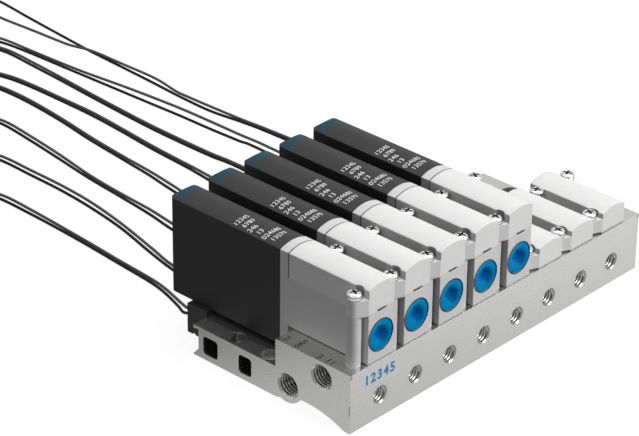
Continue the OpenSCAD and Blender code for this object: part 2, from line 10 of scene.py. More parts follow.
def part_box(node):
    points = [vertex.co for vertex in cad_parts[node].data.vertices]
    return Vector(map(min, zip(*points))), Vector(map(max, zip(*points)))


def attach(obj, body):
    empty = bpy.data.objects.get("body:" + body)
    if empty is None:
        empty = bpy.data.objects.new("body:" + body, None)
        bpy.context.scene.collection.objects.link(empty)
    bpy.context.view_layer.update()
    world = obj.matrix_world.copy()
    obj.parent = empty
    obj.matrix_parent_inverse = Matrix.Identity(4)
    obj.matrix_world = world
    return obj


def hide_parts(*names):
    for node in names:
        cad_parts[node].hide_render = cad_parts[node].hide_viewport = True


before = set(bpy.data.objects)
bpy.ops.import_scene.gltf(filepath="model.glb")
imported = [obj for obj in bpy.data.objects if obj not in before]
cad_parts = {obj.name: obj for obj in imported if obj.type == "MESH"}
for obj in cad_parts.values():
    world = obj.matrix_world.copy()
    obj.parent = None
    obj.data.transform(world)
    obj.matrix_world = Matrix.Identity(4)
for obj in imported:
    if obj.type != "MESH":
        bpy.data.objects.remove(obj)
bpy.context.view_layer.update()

bl_info = {
    "name": "Solenoid valve manifold",
    "version": (1, 0, 0),
    "blender": (4, 5, 0),
    "location": "View3D > Sidebar > Manifold",
    "description": "Dresses an eight station valve manifold: metal, plastics, leads, screws and stage",
    "category": "Object",
}

MM = 0.001
ROOT = "manifold"

# Sizes and places in millimetres, read from the parts in model.glb wherever they hold them
STATIONS = 8
VALVES = 5
PITCH = 14.0
RAIL_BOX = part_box("manifold_rail")
RAIL_FRONT = RAIL_BOX[0][1] / MM
RAIL_LEFT = RAIL_BOX[0][0] / MM
RAIL_RIGHT = RAIL_BOX[1][0] / MM
RAIL_TOP = RAIL_BOX[1][2] / MM
HOUSING_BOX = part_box("coil_housing_1")
UNIT_W = (HOUSING_BOX[1][0] - HOUSING_BOX[0][0]) / MM
VALVE_APEX = HOUSING_BOX[1][2] / MM
CROWN = 1.1
CAP_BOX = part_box("valve_cap_1")
CAP_END = CAP_BOX[1][1] / MM
CAP_TOP = CAP_BOX[1][2] / MM
PARTING_Z = CAP_BOX[0][2] / MM
BODY_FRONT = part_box("valve_body_1")[0][1] / MM
PLUG_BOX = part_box("bore_plug_1")
PLUG_Z = (PLUG_BOX[0][2] + PLUG_BOX[1][2]) / 2 / MM
STRIP_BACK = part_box("socket_strip")[1][1] / MM
HEAD_HEIGHT = 2.1
VALVE_SEAT_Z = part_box("valve_screws")[1][2] / MM - HEAD_HEIGHT
PLATE_SEAT_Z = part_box("plate_screws")[1][2] / MM - HEAD_HEIGHT

# Distances behind the rail's front: screws at the left and at the right of a station
FRONT_SCREWS = 3.5
REAR_SCREWS = 22.6

# Ports in the front, and the two in each end as distance behind the rail's front and height
OUTLET_Z = 7.0
MAIN_PORTS = ((22.35, 5.1), (10.3, 13.0))

# Leads: half the distance in a pair, heights at the strip, at the first touch and at rest, and the coil
CONTACT_HALF = 1.45
LEAD_EXIT_Z = 4.5
LANDING_Z = 1.1
LEAD_Z = 0.55
COIL_OUTER = 10.4
COIL_INNER = 5.95
COIL_LAYERS = 4

# Band round a coil: its middle in the coil, then its width and height
TIE_R = 8.1
TIE_Z = 2.5
TIE_ACROSS = 7.5
TIE_HEIGHT = 4.74

PRINT_ROWS = "12345\n 6789\n246\n 13\n024680\n 13579"

# Points of every lead on the surface, the left lead of each pair first. A third number lifts a crossing.
LEAD_ROUTES = [
    [
        [(-48.4, 37.5), (-46.4, 42), (-43.9, 50), (-42.6, 57), (-41.6, 70), (-40.5, 85), (-39.8, 98),
         (-39.4, 112), (-39.4, 124), (-40.7, 134)],
        [(-45.9, 38), (-44.5, 43), (-42.3, 51), (-41.2, 58), (-40.3, 72), (-39.2, 86), (-38.3, 100),
         (-37.6, 113), (-37.4, 125), (-39.5, 134)],
    ],
    [
        [(-36, 38), (-35, 46), (-33, 59), (-30.6, 70), (-26.7, 86), (-24.3, 102), (-23.2, 116), (-23, 130),
         (-22.9, 142), (-24.2, 153)],
        [(-33.2, 38), (-32.6, 46), (-31.4, 60), (-28.7, 71), (-24.7, 88), (-22, 104), (-21, 118),
         (-20.9, 132), (-20.9, 144), (-23, 153)],
    ],
    [
        [(-22.1, 38), (-20.3, 50), (-16.8, 75), (-15, 86), (-13.5, 100), (-12.1, 115), (-9.9, 131),
         (-7.8, 147), (-6.5, 161), (-8, 171)],
        [(-19.3, 38), (-17.6, 52), (-14.2, 78), (-12.9, 88), (-12.1, 101), (-10.7, 116), (-7.9, 133),
         (-5.8, 149), (-4.7, 162), (-6.8, 171)],
    ],
    [
        [(-8.1, 38), (-5.8, 54), (-2, 78), (0.7, 96), (2, 104), (3.6, 118), (5.4, 134), (7.8, 150),
         (9.3, 166), (9.4, 178), (8.2, 190)],
        [(-5.3, 38), (-3.2, 54), (0, 78), (2.5, 95), (3.8, 105), (5, 119), (6.8, 135), (9.1, 151),
         (10.7, 167), (10.8, 179), (9.4, 190)],
    ],
    [
        [(5.9, 38), (8.4, 56), (12.9, 93), (13.7, 102), (14.6, 116), (16.1, 131), (17.2, 146), (17.4, 161),
         (17.3, 174), (16.4, 184), (13.5, 193), (7.2, 198.9), (-3.2, 208.1), (-11.5, 215.4)],
        [(8.8, 38), (11, 56), (14.4, 92), (15.1, 103), (16, 117), (17.5, 132), (18.7, 147), (18.7, 162),
         (18.6, 175), (17.8, 185), (14.6, 194), (8.1, 199.8), (-2.4, 209.1), (-10.7, 216.4)],
    ],
    [
        [(20.1, 38), (22.2, 54), (24.4, 87), (23.8, 99), (23.7, 112), (24, 126), (24.9, 141), (26, 156),
         (27.2, 171), (28.2, 186), (28.8, 199), (26.7, 211)],
        [(22.9, 38), (24.6, 54), (25.6, 88), (25.1, 100), (25.1, 113), (25.4, 127), (26.3, 142),
         (27.4, 157), (28.7, 172), (29.8, 187), (30.3, 200), (27.9, 211.5)],
    ],
    [
        [(34.1, 38), (35.8, 54), (37.6, 92), (37.1, 100), (36.6, 112), (36.4, 125), (35.9, 138),
         (35.4, 152), (34.9, 166), (34.4, 180), (33.9, 194), (32.9, 205), (30.4, 213), (25, 220),
         (15.2, 229.1), (7, 236.4)],
        [(37, 38), (38.9, 54), (40.5, 90), (40.3, 103), (40.3, 116), (40.1, 129), (39.3, 142), (38.2, 155),
         (36.8, 168), (35.9, 181), (35.4, 194), (34.8, 207), (32.3, 215), (26.4, 221.6), (16.2, 230.1),
         (7.8, 237.3)],
    ],
    [
        [(48, 38), (48.4, 60), (47.7, 97), (46.8, 109), (45.4, 121), (45.8, 135), (46.9, 150), (47.8, 165),
         (48.7, 180), (50.2, 196), (51.9, 213), (53.7, 229), (53.4, 236), (50.4, 241.3), (44.5, 243.8),
         (38.5, 244.4), (35.2, 244.1)],
        [(50.9, 38), (50.6, 60), (48.9, 98), (48.1, 110), (47.7, 123), (47.5, 137), (47.8, 148, 1.75),
         (47.7, 164, 1.8), (47.5, 178, 1.75), (46.9, 190), (46.1, 207), (45.4, 219), (45.6, 227),
         (45, 234.4)],
    ],
]

# Middle of the coil that each pair ends in
COIL_PLACES = [
    (-50.5, 133.4), (-34, 152.1), (-17.8, 170.5), (-1.6, 188.9), (-18, 208.1), (16.9, 209.9), (0.5, 229.1),
    (35.2, 233.7),
]


def station_x(k):
    """Middle of station k, counted from the left end of the rail."""
    return (k - (STATIONS + 1) / 2) * PITCH


def crown_radius():
    """Radius of the arched tops of the valves."""
    half = UNIT_W / 2
    return (half * half + CROWN * CROWN) / (2 * CROWN)


class Wire:
    """A socket in a node tree. Sums with numbers or other wires add Math nodes."""

    def __init__(self, bench, socket):
        self.bench = bench
        self.socket = socket

    def _math(self, operation, first, second=0.0):
        return self.bench.node("ShaderNodeMath", {"operation": operation}, {0: first, 1: second})

    def __add__(self, other):
        return self._math("ADD", self, other)

    __radd__ = __add__

    def __sub__(self, other):
        return self._math("SUBTRACT", self, other)

    def __rsub__(self, other):
        return self._math("SUBTRACT", other, self)

    def __mul__(self, other):
        return self._math("MULTIPLY", self, other)

    __rmul__ = __mul__

    def __truediv__(self, other):
        return self._math("DIVIDE", self, other)

    def __rtruediv__(self, other):
        return self._math("DIVIDE", other, self)

    def __pow__(self, other):
        return self._math("POWER", self, other)

    def __mod__(self, other):
        return self._math("FLOORED_MODULO", self, other)

    def __gt__(self, other):
        return self._math("GREATER_THAN", self, other)

    def __lt__(self, other):
        return self._math("LESS_THAN", self, other)

    def __abs__(self):
        return self._math("ABSOLUTE", self)

    def wave(self):
        """Goes evenly from 0 to 1 and back as the angle grows."""
        return self._math("SINE", self) * 0.5 + 0.5


class Bench:
    """A node tree under construction."""

    def __init__(self, tree):
        self.tree = tree

    def node(self, kind, settings=None, sockets=None, out=0):
        """Adds a node, sets it up, feeds its sockets and returns one output as a Wire."""
        made = self.tree.nodes.new(kind)
        for name, value in (settings or {}).items():
            setattr(made, name, value)
        for key, value in (sockets or {}).items():
            if isinstance(value, Wire):
                self.tree.links.new(value.socket, made.inputs[key])
            elif value is not None:
                made.inputs[key].default_value = value
        return Wire(self, made.outputs[out])

    def is_ray(self, kind):
        """1 for rays of one kind, such as Camera or Glossy, else 0."""
        return self.node("ShaderNodeLightPath", out=f"Is {kind} Ray")


class Finish(Bench):
    """The material of one finish, on Object coordinates in millimetres."""

    def __init__(self, name):
        self.material = bpy.data.materials.new(name)
        self.material.use_nodes = True
        super().__init__(self.material.node_tree)
        self.tree.nodes.clear()
        self.coordinates = self.tree.nodes.new("ShaderNodeTexCoord")
        self.place = self.scaled((1000, 1000, 1000))

    def scaled(self, scale, turn=(0, 0, 0), kind="POINT"):
        """Object coordinates, scaled and then turned."""
        source = Wire(self, self.coordinates.outputs["Object"])
        sockets = {"Vector": source, "Rotation": turn, "Scale": scale}
        return self.node("ShaderNodeMapping", {"vector_type": kind}, sockets)

    def drawn_out(self, scale, turn):
        """Object coordinates scaled along turned axes."""
        return self.scaled(tuple(1 / part for part in scale), turn, "TEXTURE")

    def split(self, vector):
        """X, Y and Z of a vector."""
        made = self.node("ShaderNodeSeparateXYZ", {}, {0: vector})
        return [Wire(self, socket) for socket in made.socket.node.outputs]

    def facing(self):
        """X, Y and Z of the surface's direction."""
        return self.split(Wire(self, self.coordinates.outputs["Normal"]))

    def noise(self, vector, scale, detail=3.0, roughness=0.55):
        """A soft cloudy pattern from 0 to 1."""
        sockets = {"Vector": vector, "Scale": scale, "Detail": detail, "Roughness": roughness}
        return self.node("ShaderNodeTexNoise", {}, sockets)

    def cells(self, vector, scale):
        """Distance from the nearest of many scattered points."""
        return self.node("ShaderNodeTexVoronoi", {}, {"Vector": vector, "Scale": scale})

    def between(self, value, low, high):
        """Goes from 0 to 1 as the value goes from low to high."""
        sockets = {"Value": value, "From Min": low, "From Max": high}
        return self.node("ShaderNodeMapRange", {"clamp": True, "interpolation_type": "SMOOTHSTEP"}, sockets)

    def blend(self, factor, first, second):
        """Mixes two colours."""
        sockets = {0: factor, 6: first, 7: second}
        return self.node("ShaderNodeMix", {"data_type": "RGBA"}, sockets, out=2)

    def shade(self, colour, amount):
        """A colour times an amount, the same in all three parts."""
        amounts = self.node("ShaderNodeCombineXYZ", {}, {0: amount, 1: amount, 2: amount})
        sockets = {0: colour[:3] if isinstance(colour, tuple) else colour, 1: amounts}
        return self.node("ShaderNodeVectorMath", {"operation": "MULTIPLY"}, sockets)

    def soft_edges(self, radius):
        """The surface's direction with its edges rounded by a radius in millimetres."""
        return self.node("ShaderNodeBevel", {"samples": 6}, {"Radius": radius * MM})

    def bump(self, height, depth, normal=None):
        """Relief whose height wire runs from 0 to 1, with a depth in millimetres."""
        sockets = {"Height": height, "Distance": depth * MM, "Strength": 1.0, "Normal": normal}
        return self.node("ShaderNodeBump", {}, sockets)

    def surface(self, **sockets):
        """Ends the tree in a Principled surface."""
        named = {key.replace("_", " "): value for key, value in sockets.items()}
        return self.shown(self.node("ShaderNodeBsdfPrincipled", {}, named))

    def shown(self, shader):
        """Ends the tree in a shader and returns the material."""
        out = self.tree.nodes.new("ShaderNodeOutputMaterial")
        self.tree.links.new(shader.socket, out.inputs["Surface"])
        return self.material


class Recipe(Bench):
    """A Geometry Nodes tree with named inputs, a material among them, that ends in one real mesh."""

    def __init__(self, name, inputs):
        tree = bpy.data.node_groups.new(name, "GeometryNodeTree")
        super().__init__(tree)
        tree.interface.new_socket("Geometry", in_out="INPUT", socket_type="NodeSocketGeometry")
        self.sockets = {}
        for label, kind in {**inputs, "Material": "Material"}.items():
            self.sockets[label] = tree.interface.new_socket(
                label, in_out="INPUT", socket_type="NodeSocket" + kind)
        tree.interface.new_socket("Geometry", in_out="OUTPUT", socket_type="NodeSocketGeometry")
        self.entry = tree.nodes.new("NodeGroupInput")

    def given(self, label):
        """One of the recipe's inputs."""
        return Wire(self, self.entry.outputs[label])

    def form(self, label):
        """The mesh of an object that is one of the inputs."""
        return self.node("GeometryNodeObjectInfo", {"transform_space": "ORIGINAL"},
                         {"Object": self.given(label)}, out="Geometry")

    def rectangle(self, width, height):
        """A closed rectangle as a path or a section."""
        return self.node("GeometryNodeCurvePrimitiveQuadrilateral", {"mode": "RECTANGLE"},
                         {"Width": width, "Height": height})

    def circle(self, radius, sides):
        """A circle as a path or a section."""
        return self.node("GeometryNodeCurvePrimitiveCircle", {"mode": "RADIUS"},
                         {"Resolution": sides, "Radius": radius})

    def swept(self, path, section, caps=True):
        """A section led along a path."""
        return self.node("GeometryNodeCurveToMesh", {},
                         {"Curve": path, "Profile Curve": section, "Fill Caps": caps})

    def joined(self, *parts):
        """Several pieces of geometry as one."""
        made = self.tree.nodes.new("GeometryNodeJoinGeometry")
        for part in parts:
            self.tree.links.new(part.socket, made.inputs[0])
        return Wire(self, made.outputs[0])

    def at_points(self, instance, turn=None):
        """The same geometry at each of the given points."""
        return self.node("GeometryNodeInstanceOnPoints", {}, {
            "Points": self.given("Geometry"), "Instance": instance, "Rotation": turn})

    def finish(self, geometry):
        """Makes the instances real, gives them their material and ends the tree."""
        realised = self.node("GeometryNodeRealizeInstances", {}, {0: geometry})
        dressed = self.node("GeometryNodeSetMaterial", {}, {
            "Geometry": realised, "Material": self.given("Material")})
        out = self.tree.nodes.new("NodeGroupOutput")
        self.tree.links.new(dressed.socket, out.inputs[0])
        return self


def form_recipe(name, turn=(0, 0, 0)):
    """A recipe that puts one form at each point."""
    r = Recipe(name, {"Form": "Object"})
    return r.finish(r.at_points(r.form("Form"), turn))


def rgba(colour):
    """A colour of three parts with full cover."""
    return (colour[0], colour[1], colour[2], 1.0)


def grey(level):
    """A grey of one level."""
    return (level, level, level, 1.0)


def new_object(name, data):
    """An object in the scene from a mesh, a curve, a lamp or a camera."""
    made = bpy.data.objects.new(name, data)
    bpy.context.scene.collection.objects.link(made)
    return made


def plain_mesh(holder, name):
    """The evaluated mesh of an object, which is then removed."""
    graph = bpy.context.evaluated_depsgraph_get()
    mesh = bpy.data.meshes.new_from_object(holder.evaluated_get(graph))
    mesh.name = name
    bpy.data.objects.remove(holder)
    return mesh


def grow(name, recipe, points, values):
    """Runs a recipe on points in millimetres and returns the piece as a plain mesh."""
    seed = bpy.data.meshes.new(name + "_points")
    seed.from_pydata([Vector(p) * MM for p in points], [], [])
    holder = new_object(name + "_points", seed)
    modifier = holder.modifiers.new("recipe", "NODES")
    modifier.node_group = recipe.tree
    for label, value in values.items():
        modifier[recipe.sockets[label].identifier] = value
    return new_object(name, plain_mesh(holder, name))


def dress(obj, material, smooth=None):
    """Gives a piece its one material, and flat or smooth faces where that is said."""
    obj.data.materials.clear()
    obj.data.materials.append(material)
    if smooth is not None:
        for polygon in obj.data.polygons:
            polygon.use_smooth = smooth
    return obj


def smooth_to(obj, angle):
    """Shades the faces smooth, and keeps the edges that turn by more than an angle in degrees."""
    obj.data.shade_smooth()
    obj.data.set_sharp_from_angle(angle=math.radians(angle))


def settle(obj, replaced=()):
    """Lets a piece ride on the manifold, and hides the nodes it stands for."""
    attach(obj, ROOT)
    if replaced:
        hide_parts(*replaced)
    return obj


def dress_nodes(material, *starts):
    """Gives a material to every CAD node whose name begins with one of the words."""
    for name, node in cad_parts.items():
        if name.startswith(starts):
            for slot in node.material_slots:
                slot.material = material


def finished_mesh(sheet, name):
    """Ends a bmesh as a mesh whose faces point outwards."""
    bmesh.ops.recalc_face_normals(sheet, faces=sheet.faces)
    mesh = bpy.data.meshes.new(name)
    sheet.to_mesh(mesh)
    sheet.free()
    return mesh


def round_about(radius, sides):
    """Points round a circle."""
    angles = [2 * math.pi * s / sides for s in range(sides)]
    return [(radius * math.cos(angle), radius * math.sin(angle)) for angle in angles]


def turned(name, outline, sides):
    """A closed mesh turned about Z from points of radius and height in millimetres, from axis to axis."""
    sheet = bmesh.new()
    rings = []
    for radius, height in outline:
        circle = round_about(radius * MM, sides if radius else 1)
        rings.append([sheet.verts.new((x, y, height * MM)) for x, y in circle])
    for low, high in zip(rings, rings[1:]):
        for s in range(sides):
            t = (s + 1) % sides
            corners = [low[s % len(low)], low[t % len(low)], high[t % len(high)], high[s % len(high)]]
            distinct = list(dict.fromkeys(corners))
            if len(distinct) > 2:
                sheet.faces.new(distinct)
    return finished_mesh(sheet, name)


def prism(name, outline, low, high, shrink=1.0):
    """A closed straight or tapering block from an outline in millimetres."""
    sheet = bmesh.new()
    bottom = [sheet.verts.new((x * shrink * MM, y * shrink * MM, low * MM)) for x, y in outline]
    top = [sheet.verts.new((x * MM, y * MM, high * MM)) for x, y in outline]
    count = len(outline)
    sheet.faces.new(bottom[::-1])
    sheet.faces.new(top)
    for i in range(count):
        j = (i + 1) % count
        sheet.faces.new([bottom[i], bottom[j], top[j], top[i]])
    return finished_mesh(sheet, name)


def cut_form(form, cutter, name):
    """Takes one form out of another and removes both. What is left is a new object."""
    cut = form.modifiers.new("cut", "BOOLEAN")
    cut.operation, cut.solver, cut.object = "DIFFERENCE", "EXACT", cutter
    made = new_object(name, plain_mesh(form, name))
    bpy.data.objects.remove(cutter)
    return made


# Leads

def smooth_line(points, steps):
    """A smooth line through the points, with the given steps from one to the next."""
    line = []
    for i in range(len(points) - 1):
        a, b = points[max(i - 1, 0)], points[i]
        c, d = points[i + 1], points[min(i + 2, len(points) - 1)]
        for s in range(steps):
            t = s / steps
            line.append([
                q + (t * (r - p) + t ** 2 * (2 * p - 5 * q + 4 * r - u) + t ** 3 * (3 * (q - r) + u - p)) / 2
                for p, q, r, u in zip(a, b, c, d)
            ])
    line.append(list(points[-1]))
    return line


def lead_run(k, side, steps):
    """The line of one lead from the strip to its coil. Side 0 is the left lead of the pair."""
    x, y0 = station_x(k) + (2 * side - 1) * CONTACT_HALF, STRIP_BACK
    points = [(x, y0 + 1.5, LEAD_EXIT_Z - 0.2)]
    for i, (px, py, *lift) in enumerate(LEAD_ROUTES[k - 1][side]):
        points.append((px, py, LANDING_Z if i == 0 else lift[0] if lift else LEAD_Z))
    line = [(x, y0, LEAD_EXIT_Z)] + smooth_line(points, steps)
    return [Vector((px, py, max(pz, LEAD_Z))) for px, py, pz in line]


def coil_entry(k):
    """The side of the lead that lies inside in the coil, and the angle at which it gets there."""
    centre = Vector(COIL_PLACES[k - 1])
    offsets = [Vector(route[-1]) - centre for route in LEAD_ROUTES[k - 1]]
    inside = 0 if offsets[0].length < offsets[1].length else 1
    return inside, math.atan2(offsets[inside].y, offsets[inside].x)


def coil_run(k, side, points_per_turn=22):
    """The line of one lead in its coil: both leads lie beside each other in layers that go in and out."""
    centre = Vector(COIL_PLACES[k - 1])
    inside, start = coil_entry(k)
    outer, inner, pair_pitch, layer_h, climb, apart = COIL_OUTER, COIL_INNER, 2.4, 1.2, 0.3, 0.6
    tightening = 0.15
    turns = (outer - inner) / pair_pitch
    line = []
    turned_so_far = 0.0
    for layer in range(COIL_LAYERS):
        count = max(2, round(turns * points_per_turn))
        first, last = (outer, inner) if layer % 2 == 0 else (inner, outer - tightening)
        for i in range(count + 1):
            part = i / count
            radius = first + (last - first) * part
            line.append((radius, turned_so_far + turns * part, LEAD_Z + layer * layer_h))
        turned_so_far += turns
        count = round(climb * points_per_turn)
        for i in range(1, count):
            part = i / count
            rise = part * part * (3 - 2 * part)
            line.append((last, turned_so_far + climb * part, LEAD_Z + (layer + rise) * layer_h))
        turned_so_far += climb
        outer = outer - tightening if layer == 1 else outer
    run = []
    for radius, turn, z in line:
        angle = start + 2 * math.pi * turn
        reach = radius + (-apart if side == inside else apart)
        run.append(Vector((centre.x + reach * math.cos(angle), centre.y + reach * math.sin(angle), z)))
    end = Vector(LEAD_ROUTES[k - 1][side][-1])
    joined = min(range(points_per_turn), key=lambda i: (run[i].xy - end).length)
    return run[joined + 1:]


def cut_to_length(line, length):
    """The first part of a line, up to a length."""
    kept = [line[0]]
    for point in line[1:]:
        step = (point - kept[-1]).length
        if step >= length:
            kept.append(kept[-1] + (point - kept[-1]) * (length / step))
            break
        length -= step
        kept.append(point)
    return kept


def tube_curve(name, line, diameter, material):
    """A round tube along a line of points in millimetres."""
    curve = bpy.data.curves.new(name, "CURVE")
    curve.dimensions = "3D"
    curve.bevel_depth = diameter / 2
    curve.bevel_resolution = 2
    curve.use_fill_caps = True
    spline = curve.splines.new("POLY")
    spline.points.add(len(line) - 1)
    for point, place in zip(spline.points, line):
        point.co = (place.x * MM, place.y * MM, place.z * MM, 1)
    curve.materials.append(material)
    return new_object(name, curve)


# Finishes

def off_row(x, first):
    """Distance along X from the nearest of a row of places that lie one station apart."""
    return ((x - first + PITCH / 2) % PITCH) - PITCH / 2


def distance(a, b):
    """Length of the line that has these two parts."""
    return (a * a + b * b) ** 0.5


def brushed_aluminium(name, colour):
    """Extruded and milled aluminium: lines along the rail and across its ends, turned rings at the ports,
    painted shade in the channels and on the port rims.
    """
    f = Finish(name)
    x, y, z = f.split(f.place)
    nx, ny, nz = f.facing()
    along = f.noise(f.scaled((22, 5200, 5200)), 1.0, 4.0, 0.65) * 0.5 + 0.25
    broad = f.noise(f.scaled((8, 900, 900)), 1.0, 2.0)
    across = f.noise(f.drawn_out((5200, 170, 5200), (math.radians(-20), 0, 0)), 1.0, 3.0, 0.6)
    end = abs(nx) > 0.7
    lines = along + end * (across - along)
    port_r = distance(off_row(x, station_x(1)), z - OUTLET_Z)
    behind = y - RAIL_FRONT
    spot = (ny < -0.7) * (behind < 0.3) * (1 - f.between(port_r, 4.0, 4.6))
    ring = (port_r * 26.0).wave()
    speck = f.noise(f.place, 2.2, 2.0)
    cloud = f.noise(f.place, 0.11, 2.0)
    # Painted shade: darker in the rail's channels and on the rims of its ports
    light = painted_rail_shade(f, (x, behind, z), (nx, nz), port_r, end)
    tone_and_shade = (0.92 + 0.07 * lines + 0.06 * broad + 0.05 * (cloud - 0.5) - 0.04 * spot * ring) * light
    height = lines + spot * ring * 0.5 + 0.25 * speck
    level_top = f.between(nz, 0.7, 0.9)
    return f.surface(
        Base_Color=f.shade(rgba(colour), tone_and_shade),
        Metallic=0.9,
        Roughness=0.2 + 0.14 * lines + 0.1 * (cloud - 0.5) - 0.08 * level_top,
        Normal=f.bump(height, 0.0022, f.soft_edges(0.07)),
    )


def painted_rail_shade(f, place, facing, port_r, end):
    """Painted shade: 1 on the open faces of the rail, less in its channels and on the rims of its ports."""
    x, behind, z = place
    nx, nz = facing
    bored = (1 - end) * f.between(abs(x), RAIL_RIGHT - 0.2, RAIL_RIGHT - 1.2)
    channel = (z > 1.6) * (z < 7.5) * (abs(behind - 44.9) < 9.2) * (1 - (abs(nx) > 0.9)) * bored
    outlet_rim = (port_r < 2.75) * (behind < 0.45) * (behind > 0.02)
    (low_y, low_z), (high_y, high_z) = MAIN_PORTS
    off_line = behind - low_y - (z - low_z) * ((high_y - low_y) / (high_z - low_z))
    main_rim = (abs(x) < RAIL_RIGHT - 0.03) * (abs(x) > RAIL_RIGHT - 0.7) * (nz < 0.8) * (abs(off_line) < 5.0)
    return (1 - channel * 0.6) * (1 - outlet_rim * 0.5) * (1 - main_rim * 0.5)


def moulded_plastic(name, colour, roughness, grain, relief, edge, mottle=0.06, specular=0.5, shade=0.0):
    """Moulded plastic with a fine grain and soft edges, with painted shade in the gaps and round the screw
    heads.
    """
    f = Finish(name)
    x, y, z = f.split(f.place)
    nx, _, nz = f.facing()
    # Painted shade on the flanks that face the gaps between the units
    gap_shade = (abs(nx) > 0.9) * (abs(x) < (STATIONS / 2 - 0.2) * PITCH)
    off_x = off_row(x, 0)
    rear = y > RAIL_FRONT + (FRONT_SCREWS + REAR_SCREWS) / 2
    off_y = y - (RAIL_FRONT + FRONT_SCREWS) - rear * (REAR_SCREWS - FRONT_SCREWS)
    # Painted shade on the walls round the screw heads, at the height of the heads
    at_plates = (z > PLATE_SEAT_Z - 0.1) * (z < PARTING_Z - 4) * (x > PITCH - 1)
    level = at_plates + (z > VALVE_SEAT_Z - 0.1)
    screw_wall_shade = (abs(off_x) > (PITCH - UNIT_W) / 2 + 0.03) * (distance(off_x, off_y) < 2.9) * (abs(nz) < 0.6)
    skin = f.noise(f.place, grain, 3.0, 0.6)
    pits = f.cells(f.place, grain * 0.8)
    cloud = f.noise(f.place, 0.16, 3.0)
    flow = f.noise(f.scaled((300, 60, 300)), 1.0, 2.0)
    cover = (1 - mottle) + mottle * cloud + mottle * 0.8 * flow
    tone_and_shade = cover * (1 - shade * gap_shade) * (1 - 1.8 * shade * screw_wall_shade * level)
    return f.surface(
        Base_Color=f.shade(rgba(colour), tone_and_shade),
        Roughness=roughness + 0.12 * (skin - 0.5) + 0.08 * (cloud - 0.5),
        Normal=f.bump(0.6 * skin + 0.4 * pits, relief, f.soft_edges(edge)),
        Specular_IOR_Level=specular,
    )


def bright_zinc(name):
    """Bright plated steel with light handling marks, with painted shade in the recess and under the rim of a
    screw head.
    """
    f = Finish(name)
    # The recess attribute marks the faces that get painted shade, near black: the cross recess and under the
    # rim
    recess = f.node("ShaderNodeAttribute", {"attribute_name": "recess"}, {}, out="Fac")
    cloud = f.noise(f.place, 0.9, 3.0)
    scratch = f.noise(f.scaled((700, 9000, 2500), (0.3, 0.2, 0.9)), 1.0, 3.0)
    return f.surface(
        Base_Color=f.blend(recess * 0.93, f.blend(cloud, grey(0.66), (0.8, 0.8, 0.79, 1)), grey(0.02)),
        Metallic=1.0,
        Roughness=0.1 + 0.12 * scratch + 0.3 * recess,
        Normal=f.bump(0.5 * scratch + 0.5 * cloud, 0.006, f.soft_edges(0.08)),
    )


def plug_blue(name, colour, pocket_shade_colour):
    """Bright blue plastic, with painted shade in the pocket of the plug, darkest to the right, and a painted
    highlight on its upper part.
    """
    f = Finish(name)
    x, _, z = f.split(f.place)
    off_x = off_row(x, station_x(1))
    off_z = z - PLUG_Z
    # Painted shade in the pocket, darker towards its right wall
    pocket = 1 - f.between(distance(off_x - 1.5, off_z + 0.9), 1.3, 2.4)
    right_wall_shade = f.between(off_x, -2.0, 0.8)
    # Painted highlight: lighter towards the top of the plug
    upper_highlight = f.between(off_z, -0.4, 3.0)
    cloud = f.noise(f.place, 0.8, 2.0)
    skin = f.noise(f.place, 12.0, 2.0)
    face = f.shade(rgba(colour), 0.92 + 0.12 * cloud + 0.4 * upper_highlight)
    return f.surface(
        Base_Color=f.blend(pocket * (0.2 + 0.8 * right_wall_shade), face, rgba(pocket_shade_colour)),
        Roughness=0.34 + 0.1 * skin,
        Normal=f.bump(skin, 0.004, f.soft_edges(0.12)),
        Specular_IOR_Level=0.02,
    )


def smoked_window(name, colour):
    """Dim blue window over the status light."""
    f = Finish(name)
    spread = f.noise(f.scaled((1400, 600, 600)), 1.0, 2.0)
    red, green, blue = colour
    return f.surface(
        Base_Color=f.blend(spread, rgba(colour), (red * 0.45, green * 0.45, blue * 0.5, 1)),
        Roughness=0.45 + 0.15 * spread,
        Normal=f.bump(spread, 0.003, f.soft_edges(0.06)),
        Specular_IOR_Level=0.15,
    )


def wire_insulation(name, colour, specular):
    """Thin smooth insulation with faint handling marks."""
    f = Finish(name)
    wave = f.noise(f.place, 0.35, 3.0)
    skin = f.noise(f.place, 9.0, 3.0)
    return f.surface(
        Base_Color=f.shade(rgba(colour), 0.75 + 0.5 * wave),
        Roughness=0.42 + 0.18 * skin,
        Normal=f.bump(skin, 0.01),
        Specular_IOR_Level=specular,
    )


def seal_rubber(name, dark, light):
    """Dull rubber between two levels of grey, also used near black as painted shade."""
    f = Finish(name)
    skin = f.noise(f.place, 5.0, 4.0)
    return f.surface(
        Base_Color=f.blend(skin, grey(dark), grey(light)),
        Roughness=0.65 + 0.2 * skin,
        Normal=f.bump(skin, 0.01),
    )


def banded_metal(name, dark, light, pitch, roughness, metallic=1.0):
    """Metal with even turned or wound bands along Y."""
    f = Finish(name)
    _, y, _ = f.split(f.place)
    band = (y * (2 * math.pi / pitch)).wave()
    cloud = f.noise(f.place, 0.7, 3.0)
    return f.surface(
        Base_Color=f.blend(0.6 * band + 0.4 * cloud, rgba(dark), rgba(light)),
        Metallic=metallic,
        Roughness=roughness + 0.1 * cloud,
        Normal=f.bump(band, pitch * 0.3, f.soft_edges(0.06)),
    )


def printed_ink(name, colour):
    """Pad printed ink with uneven cover."""
    f = Finish(name)
    cover = f.noise(f.place, 3.0, 3.0)
    return f.surface(
        Base_Color=f.shade(rgba(colour), 0.8 + 0.35 * cover),
        Roughness=0.45 + 0.15 * cover,
        Normal=f.bump(cover, 0.004),
    )


# Settings

def colour_setting(name, description, default):
    """A colour that a user can change."""
    return bpy.props.FloatVectorProperty(
        name=name, description=description, subtype="COLOR", size=3, default=default, min=0, max=1)


